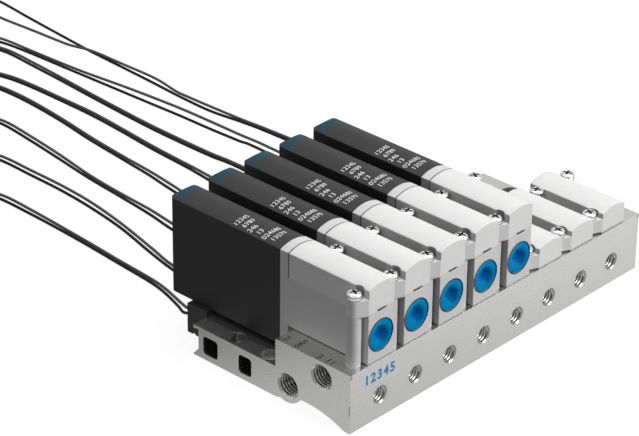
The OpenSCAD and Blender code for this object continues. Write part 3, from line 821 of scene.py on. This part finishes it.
def length_setting(name, description, default):
    """A size that a user can change, in millimetres here and in the scene's unit in the panel."""
    return bpy.props.FloatProperty(
        name=name, description=description, default=default * MM, min=0, unit="LENGTH")


def power_setting(name, description, default):
    """A lamp's power that a user can change."""
    return bpy.props.FloatProperty(name=name, description=description, default=default, min=0, unit="POWER")


class StageSettings(bpy.types.PropertyGroup):
    """Lamps, surround and floor"""

    key_power: power_setting("Key light", "Power of the soft light above the ports", 7.4)
    top_power: power_setting("Top light", "Power of the soft light overhead", 4.6)
    left_power: power_setting("Left light", "Power of the weak light at the rail's near end", 0.62)
    surround: bpy.props.FloatProperty(
        name="Surround", description="Strength of the light from all around", default=0.15, min=0)
    mirrored: bpy.props.FloatProperty(
        name="Mirrored surround", description="Strength of the surround in reflections", default=0.8, min=0)
    floor_colour: colour_setting("Floor", "Colour of the floor", (0.1, 0.1, 0.1))


class MetalSettings(bpy.types.PropertyGroup):
    """Rail, port threads and screws"""

    aluminium: colour_setting("Aluminium", "Colour of the rail", (0.62, 0.62, 0.61))
    thread_ridge: length_setting("Thread ridge", "Radius of the ridge of a port thread", 0.22)
    screw_head_radius: length_setting("Screw head", "Radius of a screw head's rim", 2.09)
    screw_head_height: length_setting("Screw head height", "Height of a screw head", HEAD_HEIGHT)
    shank_radius: length_setting("Shank", "Radius of a screw's shank", 0.99)


class PlasticSettings(bpy.types.PropertyGroup):
    """Colours of the mouldings, and the print on the housings"""

    light_grey: colour_setting("Light grey", "Colour of caps and plates", (0.77, 0.77, 0.765))
    body_grey: colour_setting("Body grey", "Colour of the valve bodies under the caps", (0.66, 0.655, 0.655))
    black: colour_setting("Black", "Colour of the coil housings", (0.021, 0.021, 0.022))
    blue: colour_setting("Blue", "Colour of the plugs", (0.0, 0.215, 0.47))
    print_white: colour_setting("White print", "Colour of the rows on the housings", (0.8, 0.8, 0.8))
    print_size: length_setting("Print size", "Size of the printed digits", 2.2)
    print_pitch: length_setting("Print pitch", "Distance from one printed row to the next", 2.65)
    print_start: length_setting("Print start", "Place along Y of the first printed row", 13.8)


class LeadSettings(bpy.types.PropertyGroup):
    """Sizes of the flying leads"""

    length: length_setting("Lead length", "Length of one flying lead", 500.0)
    diameter: length_setting("Lead diameter", "Diameter over the insulation", 0.9)
    bare_end: length_setting("Bare end", "Length of the stripped end", 4.0)


# Operators

class MANIFOLD_OT_camera(bpy.types.Operator):
    """Place the camera at the photograph's viewpoint"""

    bl_idname = "manifold.camera"
    bl_label = "Camera"

    def execute(self, context):
        azimuth, elevation, roll = math.radians(-47.2598), math.radians(28.9521), math.radians(0.6876)
        focal_px, width_px = 2898.53, 639
        eye = Vector((-532.685, -461.0, 415.61)) * MM
        right = Vector((math.cos(azimuth), math.sin(azimuth), 0))
        back = Vector((math.sin(azimuth) * math.cos(elevation), -math.cos(azimuth) * math.cos(elevation),
                       math.sin(elevation)))
        up = back.cross(right)
        turned_right = right * math.cos(roll) + up * math.sin(roll)
        turned_up = up * math.cos(roll) - right * math.sin(roll)
        data = bpy.data.cameras.new("photo_camera")
        data.sensor_width = 36.0
        data.sensor_fit = "HORIZONTAL"
        data.lens = focal_px * data.sensor_width / width_px
        data.clip_start, data.clip_end = 0.05, 20.0
        camera = new_object("photo_camera", data)
        place = Matrix((turned_right, turned_up, back)).transposed().to_4x4()
        place.translation = eye
        camera.matrix_world = place
        context.scene.camera = camera
        return {"FINISHED"}


class MANIFOLD_OT_leads(bpy.types.Operator):
    """Lay the eight pairs of flying leads and their coils"""

    bl_idname = "manifold.leads"
    bl_label = "Leads"

    def execute(self, context):
        s = context.scene.manifold_leads
        dark = wire_insulation("lead_black", (0.006, 0.006, 0.006), 0.15)
        dim = wire_insulation("lead_dark_grey", (0.08, 0.077, 0.074), 0.4)
        tin = bright_zinc("tinned_strands")
        band = moulded_plastic("tie_black", (0.02, 0.02, 0.02), 0.45, 3.0, 0.01, 0.05)
        tie_recipe = self.tie_recipe()
        for k in range(1, STATIONS + 1):
            tie = grow(f"lead_tie_{k}", tie_recipe, [self.tie_place(k)], {
                "Turn": self.tie_turn(k), "Across": TIE_ACROSS * MM, "Height": TIE_HEIGHT * MM,
                "Material": band})
            settle(tie)
            for side, word, material in ((0, "left", dark), (1, "right", dim)):
                line = cut_to_length(lead_run(k, side, 6) + coil_run(k, side), s.length / MM)
                covered = cut_to_length(line, (s.length - s.bare_end) / MM)
                lead = tube_curve(f"lead_{k}_{word}", covered, s.diameter, material)
                settle(lead, (f"lead_pair_{k}", f"lead_coil_{k}"))
                strands = self.strands(f"lead_end_{k}_{word}", line, covered, tin)
                covered[0] * MM
        return {"FINISHED"}

    @staticmethod
    def strands(name, line, covered, material):
        """The stripped and tinned end of a lead."""
        covered_part, nearest, diameter = 0.3, 0.35, 0.62
        way = (covered[-1] - covered[-2]).normalized()
        start = covered[-1] - way * covered_part
        rest = [p for p in line[len(covered) - 1:] if (p - start).length > nearest]
        return settle(tube_curve(name, [start] + rest, diameter * MM, material))

    @staticmethod
    def tie_turn(k):
        """Turns a tie across the turns of its coil, well round from where the leads come in."""
        return (0, 0, coil_entry(k)[1] + math.radians(150))

    @staticmethod
    def tie_place(k):
        """Middle of a tie, in the middle of the coil's turns."""
        angle = MANIFOLD_OT_leads.tie_turn(k)[2]
        centre = COIL_PLACES[k - 1]
        return (centre[0] + TIE_R * math.cos(angle), centre[1] + TIE_R * math.sin(angle), TIE_Z)

    @staticmethod
    def tie_recipe():
        """A flat band in a rounded loop round a coil's turns."""
        corner, width, thickness = 1.5, 1.3, 0.22
        r = Recipe("lead_tie", {"Turn": "Vector", "Across": "Float", "Height": "Float"})
        loop = r.rectangle(r.given("Across"), r.given("Height"))
        soft = r.node("GeometryNodeFilletCurve", {"mode": "POLY"}, {
            "Curve": loop, "Count": 5, "Radius": corner * MM})
        stood = r.node("GeometryNodeTransform", {}, {"Geometry": soft, "Rotation": (math.pi / 2, 0, 0)})
        band = r.swept(stood, r.rectangle(width * MM, thickness * MM))
        return r.finish(r.at_points(band, r.given("Turn")))


class MANIFOLD_OT_rail(bpy.types.Operator):
    """Finish the aluminium rail and lay the ridges of the threads in its ports"""

    bl_idname = "manifold.rail"
    bl_label = "Rail and port threads"

    def execute(self, context):
        s = context.scene.manifold_metal
        metal = brushed_aluminium("rail_aluminium", tuple(s.aluminium))
        dress_nodes(metal, "manifold_rail")
        thread_metal = banded_metal("thread_aluminium", (0.42, 0.42, 0.42), (0.7, 0.7, 0.69), 0.8, 0.25)
        threads = self.thread_recipe()
        lead_in, quarter = 0.6, math.pi / 2
        outlet_pitch, outlet_turns = 0.8, 6.0
        common = {"Ridge": s.thread_ridge, "Material": thread_metal}
        outlet = dict(common, Radius=2.28 * MM, Pitch=outlet_pitch * MM, Turns=outlet_turns)
        outlet["Turn"] = (quarter, 0, 0)
        outlet_end = RAIL_FRONT + lead_in + outlet_pitch * outlet_turns
        outlets = [(station_x(k), outlet_end, OUTLET_Z) for k in range(1, STATIONS + 1)]
        pieces = [grow("outlet_threads", threads, outlets, outlet)]
        main = dict(common, Radius=3.2 * MM, Pitch=1.0 * MM, Turns=7.0)
        ends = (("left", RAIL_LEFT + lead_in, quarter), ("right", RAIL_RIGHT - lead_in, -quarter))
        for word, x, turn in ends:
            places = [(x, RAIL_FRONT + behind, up) for behind, up in MAIN_PORTS]
            pieces.append(grow(f"main_port_threads_{word}", threads, places, dict(main, Turn=(0, turn, 0))))
        for piece in pieces:
            settle(dress(piece, thread_metal, True))
        return {"FINISHED"}

    @staticmethod
    def thread_recipe():
        """The ridge of a screw thread, a helix that starts at each point."""
        r = Recipe("port_thread", {
            "Radius": "Float", "Pitch": "Float", "Turns": "Float", "Ridge": "Float", "Turn": "Vector"})
        helix = r.node("GeometryNodeCurveSpiral", {}, {
            "Resolution": 40, "Rotations": r.given("Turns"), "Start Radius": r.given("Radius"),
            "End Radius": r.given("Radius"), "Height": r.given("Pitch") * r.given("Turns")})
        ridge = r.circle(r.given("Ridge"), 6)
        stood = r.node("GeometryNodeTransform", {}, {
            "Geometry": r.swept(helix, ridge), "Rotation": r.given("Turn")})
        return r.finish(r.at_points(stood))


class MANIFOLD_OT_plastics(bpy.types.Operator):
    """Finish the valve bodies, caps, housings, plates, plugs and windows"""

    bl_idname = "manifold.plastics"
    bl_label = "Plastics"

    def execute(self, context):
        s = context.scene.manifold_plastic
        light = moulded_plastic("light_grey_plastic", tuple(s.light_grey), 0.42, 5.0, 0.010, 0.55, shade=0.34)
        pale = moulded_plastic("body_grey_plastic", tuple(s.body_grey), 0.45, 5.0, 0.010, 0.3, shade=0.4)
        black = moulded_plastic("black_plastic", tuple(s.black), 0.48, 4.0, 0.012, 0.18, 0.2, specular=0.27)
        strip = moulded_plastic("strip_plastic", (0.012, 0.012, 0.012), 0.5, 4.0, 0.012, 0.15, 0.2)
        dress_nodes(light, "valve_cap", "blanking_plates")
        dress_nodes(pale, "valve_body")
        dress_nodes(black, "coil_housing")
        self.cut_strip(strip)
        # The third colour is the painted shade in the pockets of the plugs
        blue = plug_blue("blue_plastic", tuple(s.blue), (0.0, 0.11, 0.34))
        dress_nodes(smoked_window("window_blue", (0.008, 0.075, 0.115)), "status_windows")
        seal = seal_rubber("seal_rubber", 0.3, 0.4)
        dress_nodes(seal, "valve_gaskets", "plate_gaskets")
        # Near black: painted shade round the plugs and in the slots, and the arched seals behind the caps
        dark = seal_rubber("dark_rubber", 0.004, 0.012)
        self.plugs(blue, dark)
        self.seals(seal, dark)
        return {"FINISHED"}

    def plugs(self, blue, dark):
        """The five plugs, each in a thin dark ring of painted shade."""
        fronts = [(station_x(k), BODY_FRONT, PLUG_Z) for k in range(1, VALVES + 1)]
        form = self.plug()
        recipe = form_recipe("plugs", (math.pi / 2, 0, 0))
        plugs = grow("plugs", recipe, fronts, {"Form": form, "Material": blue})
        bpy.data.objects.remove(form)
        smooth_to(plugs, 24)
        settle(plugs, tuple(f"bore_plug_{k}" for k in range(1, VALVES + 1)))
        # Painted shade: a thin near-black ring where the gap round each plug is
        radius, width, thickness = 4.68, 0.3, 0.1
        rings = grow("plug_rings", self.ring_recipe(), fronts, {
            "Radius": radius * MM, "Width": width * MM, "Thickness": thickness * MM, "Material": dark})
        settle(rings)

    def seals(self, seal, dark):
        """What shows of the seals: lips on the rail and arches behind the caps, with dark bars of painted
        shade in the slots in the fronts.
        """
        blocks = self.block_recipe()
        depth, slot_proud, lip_back = 0.8, 0.015, 0.03
        # Painted shade: near-black bars in the slots of the fronts
        slots = [(station_x(k) + 0.15, BODY_FRONT - slot_proud + depth / 2, PARTING_Z + 0.37)
                 for k in range(1, VALVES + 1)]
        settle(grow("cap_slot_seals", blocks, slots, {
            "Size": (2.5 * MM, depth * MM, 0.5 * MM), "Material": dark}))
        lips = [(station_x(k), BODY_FRONT + lip_back + depth / 2, RAIL_TOP + 0.15)
                for k in range(1, STATIONS + 1)]
        settle(grow("seal_lips", blocks, lips, {
            "Size": ((UNIT_W - 0.1) * MM, depth * MM, 0.29 * MM), "Material": seal}))
        form = self.end_seal()
        joints = [(station_x(k), CAP_END + 0.06, 0) for k in range(1, VALVES + 1)]
        settle(grow("cap_end_seals", form_recipe("cap_end_seals"), joints, {
            "Form": form, "Material": dark}))
        bpy.data.objects.remove(form)

    @staticmethod
    def end_seal():
        """The thin arched seal between a cap and the raised end of its valve body."""
        half, proud, steps = UNIT_W / 2, 0.015, 9
        radius = crown_radius()
        reach = math.asin(half / radius)
        outline = [(half + proud, PARTING_Z + 0.1)]
        for i in range(steps, -steps - 1, -1):
            angle = reach * i / steps
            up = CAP_TOP - radius + math.cos(angle) * (radius + proud)
            outline.append((math.sin(angle) * (radius + proud), up))
        outline.append((-half - proud, PARTING_Z + 0.1))
        form = new_object("end_seal_form", prism("end_seal_form", outline, -0.13, 0.13))
        form.data.transform(Matrix.Rotation(math.pi / 2, 4, "X"))
        return form

    @staticmethod
    def plug():
        """A flanged plug that faces up, with a conical pocket in front and a sleeve with an air hole."""
        outline = [(0, -1.75), (1.2, -1.65), (2.45, -0.55), (2.85, -0.3), (3.95, -0.12), (4.4, -0.12),
                   (4.55, -0.26), (4.55, -1.2), (3.18, -1.2), (3.18, -7.3), (2.3, -7.3), (2.3, -3.2),
                   (0, -3.2)]
        hole_r, hole_down = 1.2, 4.5
        form = new_object("plug_whole", turned("plug_whole", outline, 72))
        cutter = new_object("hole_cutter", prism("hole_cutter", round_about(hole_r, 24), 0.8, 4.2))
        lowered = Matrix.Translation((0, 0, -hole_down * MM))
        cutter.data.transform(lowered @ Matrix.Rotation(math.pi / 2, 4, "X"))
        return cut_form(form, cutter, "plug_form")

    @staticmethod
    def ring_recipe():
        """A thin flat ring at each point, in the plane of the valves' fronts."""
        r = Recipe("plug_rings", {"Radius": "Float", "Width": "Float", "Thickness": "Float"})
        section = r.rectangle(r.given("Width"), r.given("Thickness"))
        ring = r.swept(r.circle(r.given("Radius"), 72), section, False)
        return r.finish(r.at_points(ring, (math.pi / 2, 0, 0)))

    @staticmethod
    def block_recipe():
        """A small block at each point, for the rubber lips and for the dark bars of painted shade in the
        slots.
        """
        r = Recipe("block_seals", {"Size": "Vector"})
        return r.finish(r.at_points(r.node("GeometryNodeMeshCube", {}, {"Size": r.given("Size")})))

    @staticmethod
    def cut_strip(material):
        """The socket strip, which ends flush with the last plate."""
        sheet = bmesh.new()
        sheet.from_mesh(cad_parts["socket_strip"].data)
        bmesh.ops.remove_doubles(sheet, verts=sheet.verts, dist=0.0005 * MM)
        end = station_x(STATIONS) + UNIT_W / 2
        geometry = [*sheet.verts, *sheet.edges, *sheet.faces]
        cut = bmesh.ops.bisect_plane(sheet, geom=geometry, plane_co=(end * MM, 0, 0), plane_no=(1, 0, 0),
                                     clear_outer=True)
        rim = [edge for edge in cut["geom_cut"] if isinstance(edge, bmesh.types.BMEdge)]
        bmesh.ops.triangle_fill(sheet, edges=rim, use_dissolve=False)
        strip = new_object("strip_body", finished_mesh(sheet, "strip_body"))
        settle(dress(strip, material), ("socket_strip",))


class MANIFOLD_OT_inner(bpy.types.Operator):
    """Finish the pieces inside the valves"""

    bl_idname = "manifold.inner"
    bl_label = "Inner pieces"

    def execute(self, context):
        # Nodes and finish, dark and light colour, pitch of the bands, roughness and metallic
        metals = (
            ("solenoid_coils", "winding_copper", (0.25, 0.06, 0.02), (0.72, 0.26, 0.1), 0.18, 0.3, 0.8),
            ("magnet_frames", "magnet_steel", (0.42, 0.42, 0.44), (0.56, 0.56, 0.58), 1.7, 0.35, 1.0),
            ("armature", "armature_steel", (0.36, 0.36, 0.38), (0.62, 0.62, 0.64), 0.4, 0.25, 1.0),
            ("seat_inserts", "seat_brass", (0.55, 0.36, 0.12), (0.8, 0.6, 0.28), 0.5, 0.22, 1.0),
            ("contact_pins", "contact_gold", (0.7, 0.5, 0.18), (0.9, 0.7, 0.35), 0.9, 0.2, 1.0),
            ("return_spring", "spring_wire", (0.5, 0.5, 0.52), (0.75, 0.75, 0.76), 0.3, 0.2, 1.0),
        )
        for nodes, name, dark, light, pitch, roughness, metallic in metals:
            dress_nodes(banded_metal(name, dark, light, pitch, roughness, metallic), nodes)
        dress_nodes(moulded_plastic("bobbin_plastic", (0.72, 0.68, 0.55), 0.4, 3.0, 0.01, 0.1), "bobbins")
        return {"FINISHED"}


class MANIFOLD_OT_screws(bpy.types.Operator):
    """Make the cross recess pan head screws"""

    bl_idname = "manifold.screws"
    bl_label = "Screws"

    def execute(self, context):
        s = context.scene.manifold_metal
        zinc = bright_zinc("bright_zinc")
        head = self.head(s.screw_head_radius / MM, s.screw_head_height / MM)
        recipe = self.recipe()
        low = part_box("valve_screws")[0][2] / MM
        for name, first, last in (("valve_screws", 1, VALVES), ("plate_screws", VALVES + 1, STATIONS)):
            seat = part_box(name)[1][2] / MM - s.screw_head_height / MM
            places = []
            for k in range(first, last + 1):
                places.append((station_x(k) - PITCH / 2, RAIL_FRONT + FRONT_SCREWS, seat))
                places.append((station_x(k) + PITCH / 2, RAIL_FRONT + REAR_SCREWS, seat))
            piece = grow(name + "_bright", recipe, places, {
                "Head": head, "Shank": s.shank_radius, "Length": (seat - low) * MM, "Material": zinc})
            settle(dress(piece, zinc), (name,))
            smooth_to(piece, 32)
        bpy.data.objects.remove(head)
        return {"FINISHED"}

    @staticmethod
    def head(radius, height):
        """A pan head with a rolled rim and a tapered cross recess."""
        profile = [(0.95, 0), (0.96, 0.15), (0.97, 0.45), (1, 0.58), (0.995, 0.69), (0.955, 0.79),
                   (0.88, 0.88), (0.76, 0.945), (0.55, 0.98), (0.3, 0.996)]
        outline = [(0, 0)] + [(radius * across, height * up) for across, up in profile] + [(0, height)]
        head = new_object("screw_head", turned("screw_head", outline, 40))
        half, reach, taper = 0.34, 1.5, 0.55
        cross = []
        for turn in range(4):
            c, n = math.cos(turn * math.pi / 2), math.sin(turn * math.pi / 2)
            for px, py in ((reach, -half), (reach, half), (half, half)):
                cross.append((px * c - py * n, px * n + py * c))
        cutter = new_object("cross_cutter", prism("cross_cutter", cross, height * 0.4, height + 0.3, taper))
        made = cut_form(head, cutter, "screw_head_cut")
        # Faces in the cross recess and under the rim are marked for painted shade
        painted_shade_marks = made.data.attributes.new("recess", "FLOAT", "FACE")
        for face in made.data.polygons:
            middle = face.center / MM
            inside = middle.xy.length < reach and height * 0.3 < middle.z < height * 0.92
            under = middle.z < height * 0.15 or height * 0.46 < middle.z < height * 0.57
            painted_shade_marks.data[face.index].value = 1.0 if inside else 0.9 if under else 0.0
        return made

    @staticmethod
    def recipe():
        """A head on its shank at each point, each turned its own way."""
        overlap, seed = 0.05, 4
        r = Recipe("pan_head_screws", {"Head": "Object", "Shank": "Float", "Length": "Float"})
        shank = r.node("GeometryNodeMeshCylinder", {"fill_type": "NGON"}, {
            "Vertices": 24, "Radius": r.given("Shank"), "Depth": r.given("Length")})
        drop = r.node("ShaderNodeCombineXYZ", {}, {2: r.given("Length") * -0.5 + overlap * MM})
        lowered = r.node("GeometryNodeTransform", {}, {"Geometry": shank, "Translation": drop})
        angle = r.node("FunctionNodeRandomValue", {"data_type": "FLOAT"}, {
            2: 0.0, 3: math.pi / 2, "ID": r.node("GeometryNodeInputIndex"), "Seed": seed}, out=1)
        turn = r.node("ShaderNodeCombineXYZ", {}, {2: angle})
        return r.finish(r.at_points(r.joined(r.form("Head"), lowered), turn))


class MANIFOLD_OT_marks(bpy.types.Operator):
    """Add the plain numbers: printed rows on the housings, etched on the rail's top and blue on its front"""

    bl_idname = "manifold.marks"
    bl_label = "Marks"

    def execute(self, context):
        s = context.scene.manifold_plastic
        white = printed_ink("white_print", tuple(s.print_white))
        blue = printed_ink("blue_print", (0.0, 0.2, 0.5))
        etched = printed_ink("etched_marks", (0.05, 0.05, 0.05))
        recipe = self.print_recipe()
        rows_left = 4.4
        for k in range(1, VALVES + 1):
            place = (station_x(k) - rows_left, s.print_start / MM, VALVE_APEX)
            piece = grow(f"housing_print_{k}", recipe, [place], {
                "Rows": PRINT_ROWS, "Size": s.print_size, "Line spacing": s.print_pitch / s.print_size,
                "Middle": station_x(k) * MM, "Curve": crown_radius() * MM, "Material": white})
            settle(piece)
        etched_size, blue_size = 3.2, 4.0
        # Number, distance from the rail's end and from its front
        near = (("2", 2.2, 24.9), ("8", 1.6, 20.3), ("5", 3.9, 20.4), ("3", 1.6, 12.4), ("11", 1.7, 8.6))
        far = (("1", 2.2, 22.4), ("3", 2.2, 10.3))
        for word, end, inward, numbers in (("left", RAIL_LEFT, 1, near), ("right", RAIL_RIGHT, -1, far)):
            turn = (0, 0, -90 * inward)
            for number, x, y in numbers:
                place = (end + inward * x, RAIL_FRONT + y, RAIL_TOP)
                self.numeral(f"etched_{number}_{word}", number, etched_size, place, turn, etched, 0.04)
        place = (RAIL_LEFT + 11.4, RAIL_FRONT, 13.45)
        self.numeral("blue_numerals", "1 2 3 4 5", blue_size, place, (90, 0, 0), blue, 0.13, "blue_plastic")
        return {"FINISHED"}

    @staticmethod
    def print_recipe():
        """Rows of plain digits, thin and closed, that lie on an arched top."""
        r = Recipe("printed_rows", {
            "Rows": "String", "Size": "Float", "Line spacing": "Float", "Middle": "Float", "Curve": "Float"})
        rows = r.node("GeometryNodeStringToCurves", {"align_y": "TOP"}, {
            "String": r.given("Rows"), "Size": r.given("Size"), "Line Spacing": r.given("Line spacing")})
        plain = r.node("GeometryNodeSetSplineResolution", {}, {
            "Geometry": r.node("GeometryNodeRealizeInstances", {}, {0: rows}), "Resolution": 3})
        filled = r.node("GeometryNodeFillCurve", {"mode": "TRIANGLES"}, {0: plain})
        raised = r.node("GeometryNodeExtrudeMesh", {"mode": "FACES"}, {
            "Mesh": filled, "Offset": (0, 0, 1), "Offset Scale": 0.03 * MM, "Individual": False})
        under = r.node("GeometryNodeFlipFaces", {}, {0: filled})
        closed = r.node("GeometryNodeMergeByDistance", {}, {
            0: r.joined(raised, under), "Distance": 0.001 * MM})
        solid = r.node("GeometryNodeRealizeInstances", {}, {0: r.at_points(closed)})
        place = r.node("ShaderNodeSeparateXYZ", {}, {0: r.node("GeometryNodeInputPosition")})
        off = place - r.given("Middle")
        fall = off * off / (r.given("Curve") * -2.0)
        lowered = r.node("GeometryNodeSetPosition", {}, {
            "Geometry": solid, "Offset": r.node("ShaderNodeCombineXYZ", {}, {2: fall})})
        return r.finish(lowered)

    @staticmethod
    def numeral(name, text, size, place, turn, material, bold, slot="rail"):
        """Plain numbers as a thin layer at a place, with its turn in degrees."""
        curve = bpy.data.curves.new(name, "FONT")
        curve.body = text
        curve.size = size * MM
        curve.extrude = 0.012 * MM
        curve.offset = bold * MM
        curve.space_word = 0.45
        curve.resolution_u = 4
        curve.align_x, curve.align_y = "CENTER", "CENTER"
        mesh = plain_mesh(new_object(name + "_text", curve), name)
        turned_by = Euler([math.radians(angle) for angle in turn]).to_matrix().to_4x4()
        mesh.transform(Matrix.Translation(Vector(place) * MM) @ turned_by)
        settle(dress(new_object(name, mesh), material))


class MANIFOLD_OT_stage(bpy.types.Operator):
    """Set up the pale floor, the surround and the soft lights"""

    bl_idname = "manifold.stage"
    bl_label = "Stage"

    def execute(self, context):
        s = context.scene.manifold_stage
        self.floor(tuple(s.floor_colour))
        self.world(context, s.surround, s.mirrored)
        self.lamp("key_light", s.key_power, (0.34, -0.7, 0.5), (0.0, 0.0, 0.02), 0.6)
        self.lamp("top_light", s.top_power, (0.1, 0.1, 0.9), (0.0, 0.02, 0.02), 0.7)
        self.lamp("left_light", s.left_power, (-0.8, 0.05, 0.6), (0.0, 0.0, 0.02), 0.5)
        context.scene.view_settings.view_transform = "Standard"
        return {"FINISHED"}

    @staticmethod
    def floor(colour):
        """Pale paper: white to the camera, lit for soft light, graded from left to front for reflections."""
        f = Finish("floor_paper")
        x, y, _ = f.split(f.place)
        way = x * 0.3 - y
        level = 0.32 + 0.42 * f.between(way, -60.0, 4.0) + 0.26 * f.between(way, 10.0, 90.0)
        paper = 0.98 + 0.02 * f.noise(f.place, 0.4)
        mirrored = f.node("ShaderNodeEmission", {}, {"Color": f.shade(grey(1.0), level)})
        white = f.node("ShaderNodeEmission", {}, {"Color": grey(1.0), "Strength": 1.13})
        seen = (f.is_ray("Camera") + f.is_ray("Transmission")) > 0.5
        tint = f.blend(seen, rgba(colour), grey(0.8))
        lit = f.node("ShaderNodeBsdfDiffuse", {}, {"Color": f.shade(tint, paper)})
        dull = f.node("ShaderNodeMixShader", {}, {0: f.is_ray("Glossy"), 1: lit, 2: mirrored})
        paper_material = f.shown(f.node("ShaderNodeMixShader", {}, {0: seen * 0.8, 1: dull, 2: white}))
        sheet = bmesh.new()
        bmesh.ops.create_grid(sheet, x_segments=8, y_segments=8, size=3.0)
        mesh = bpy.data.meshes.new("floor")
        sheet.to_mesh(mesh)
        sheet.free()
        mesh.transform(Matrix.Translation((0, 0.5, -0.02 * MM)))
        floor = new_object("floor", mesh)
        floor.data.materials.append(paper_material)

    @staticmethod
    def world(context, strength, mirrored):
        """An even white surround: full to the camera, strong in reflections and weak as light."""
        world = bpy.data.worlds.new("studio")
        context.scene.world = world
        world.use_nodes = True
        bench = Bench(world.node_tree)
        bench.tree.nodes.clear()
        seen = (bench.is_ray("Camera") + bench.is_ray("Transmission")) > 0.5
        level = strength + (mirrored - strength) * bench.is_ray("Glossy") + (1.0 - strength) * seen
        glow = bench.node("ShaderNodeBackground", {}, {"Color": (1, 1, 1, 1), "Strength": level})
        out = bench.tree.nodes.new("ShaderNodeOutputWorld")
        bench.tree.links.new(glow.socket, out.inputs["Surface"])

    @staticmethod
    def lamp(name, power, place, target, size):
        """A square soft lamp at a place in metres that points at a target."""
        data = bpy.data.lights.new(name, "AREA")
        data.energy = power
        data.shape = "SQUARE"
        data.size = size
        lamp = new_object(name, data)
        way = Vector(target) - Vector(place)
        lamp.matrix_world = Matrix.Translation(place) @ way.to_track_quat("-Z", "Y").to_matrix().to_4x4()


OPERATORS = (
    MANIFOLD_OT_camera, MANIFOLD_OT_leads, MANIFOLD_OT_rail, MANIFOLD_OT_plastics, MANIFOLD_OT_inner,
    MANIFOLD_OT_screws, MANIFOLD_OT_marks, MANIFOLD_OT_stage,
)


class MANIFOLD_PT_sidebar(bpy.types.Panel):
    """Buttons and settings of the valve manifold"""

    bl_idname = "MANIFOLD_PT_sidebar"
    bl_label = "Valve manifold"
    bl_space_type = "VIEW_3D"
    bl_region_type = "UI"
    bl_category = "Manifold"

    def draw(self, context):
        for operator in OPERATORS:
            self.layout.operator(operator.bl_idname)
        for name in SETTINGS:
            group = getattr(context.scene, name)
            box = self.layout.box()
            for key in group.__annotations__:
                box.prop(group, key)


SETTINGS = {
    "manifold_stage": StageSettings,
    "manifold_metal": MetalSettings,
    "manifold_plastic": PlasticSettings,
    "manifold_leads": LeadSettings,
}
CLASSES = (*SETTINGS.values(), *OPERATORS, MANIFOLD_PT_sidebar)


def register():
    """Registers the settings, the operators and the panel."""
    for cls in CLASSES:
        bpy.utils.register_class(cls)
    for name, group in SETTINGS.items():
        setattr(bpy.types.Scene, name, bpy.props.PointerProperty(type=group))


def unregister():
    """Takes away all that register added."""
    for name in SETTINGS:
        delattr(bpy.types.Scene, name)
    for cls in reversed(CLASSES):
        bpy.utils.unregister_class(cls)


def main():
    """Builds the scene."""
    register()
    bpy.ops.manifold.camera()
    bpy.ops.manifold.leads()
    bpy.ops.manifold.rail()
    bpy.ops.manifold.plastics()
    bpy.ops.manifold.inner()
    bpy.ops.manifold.screws()
    bpy.ops.manifold.marks()
    bpy.ops.manifold.stage()
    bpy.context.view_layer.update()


if __name__ == "__main__":
    main()
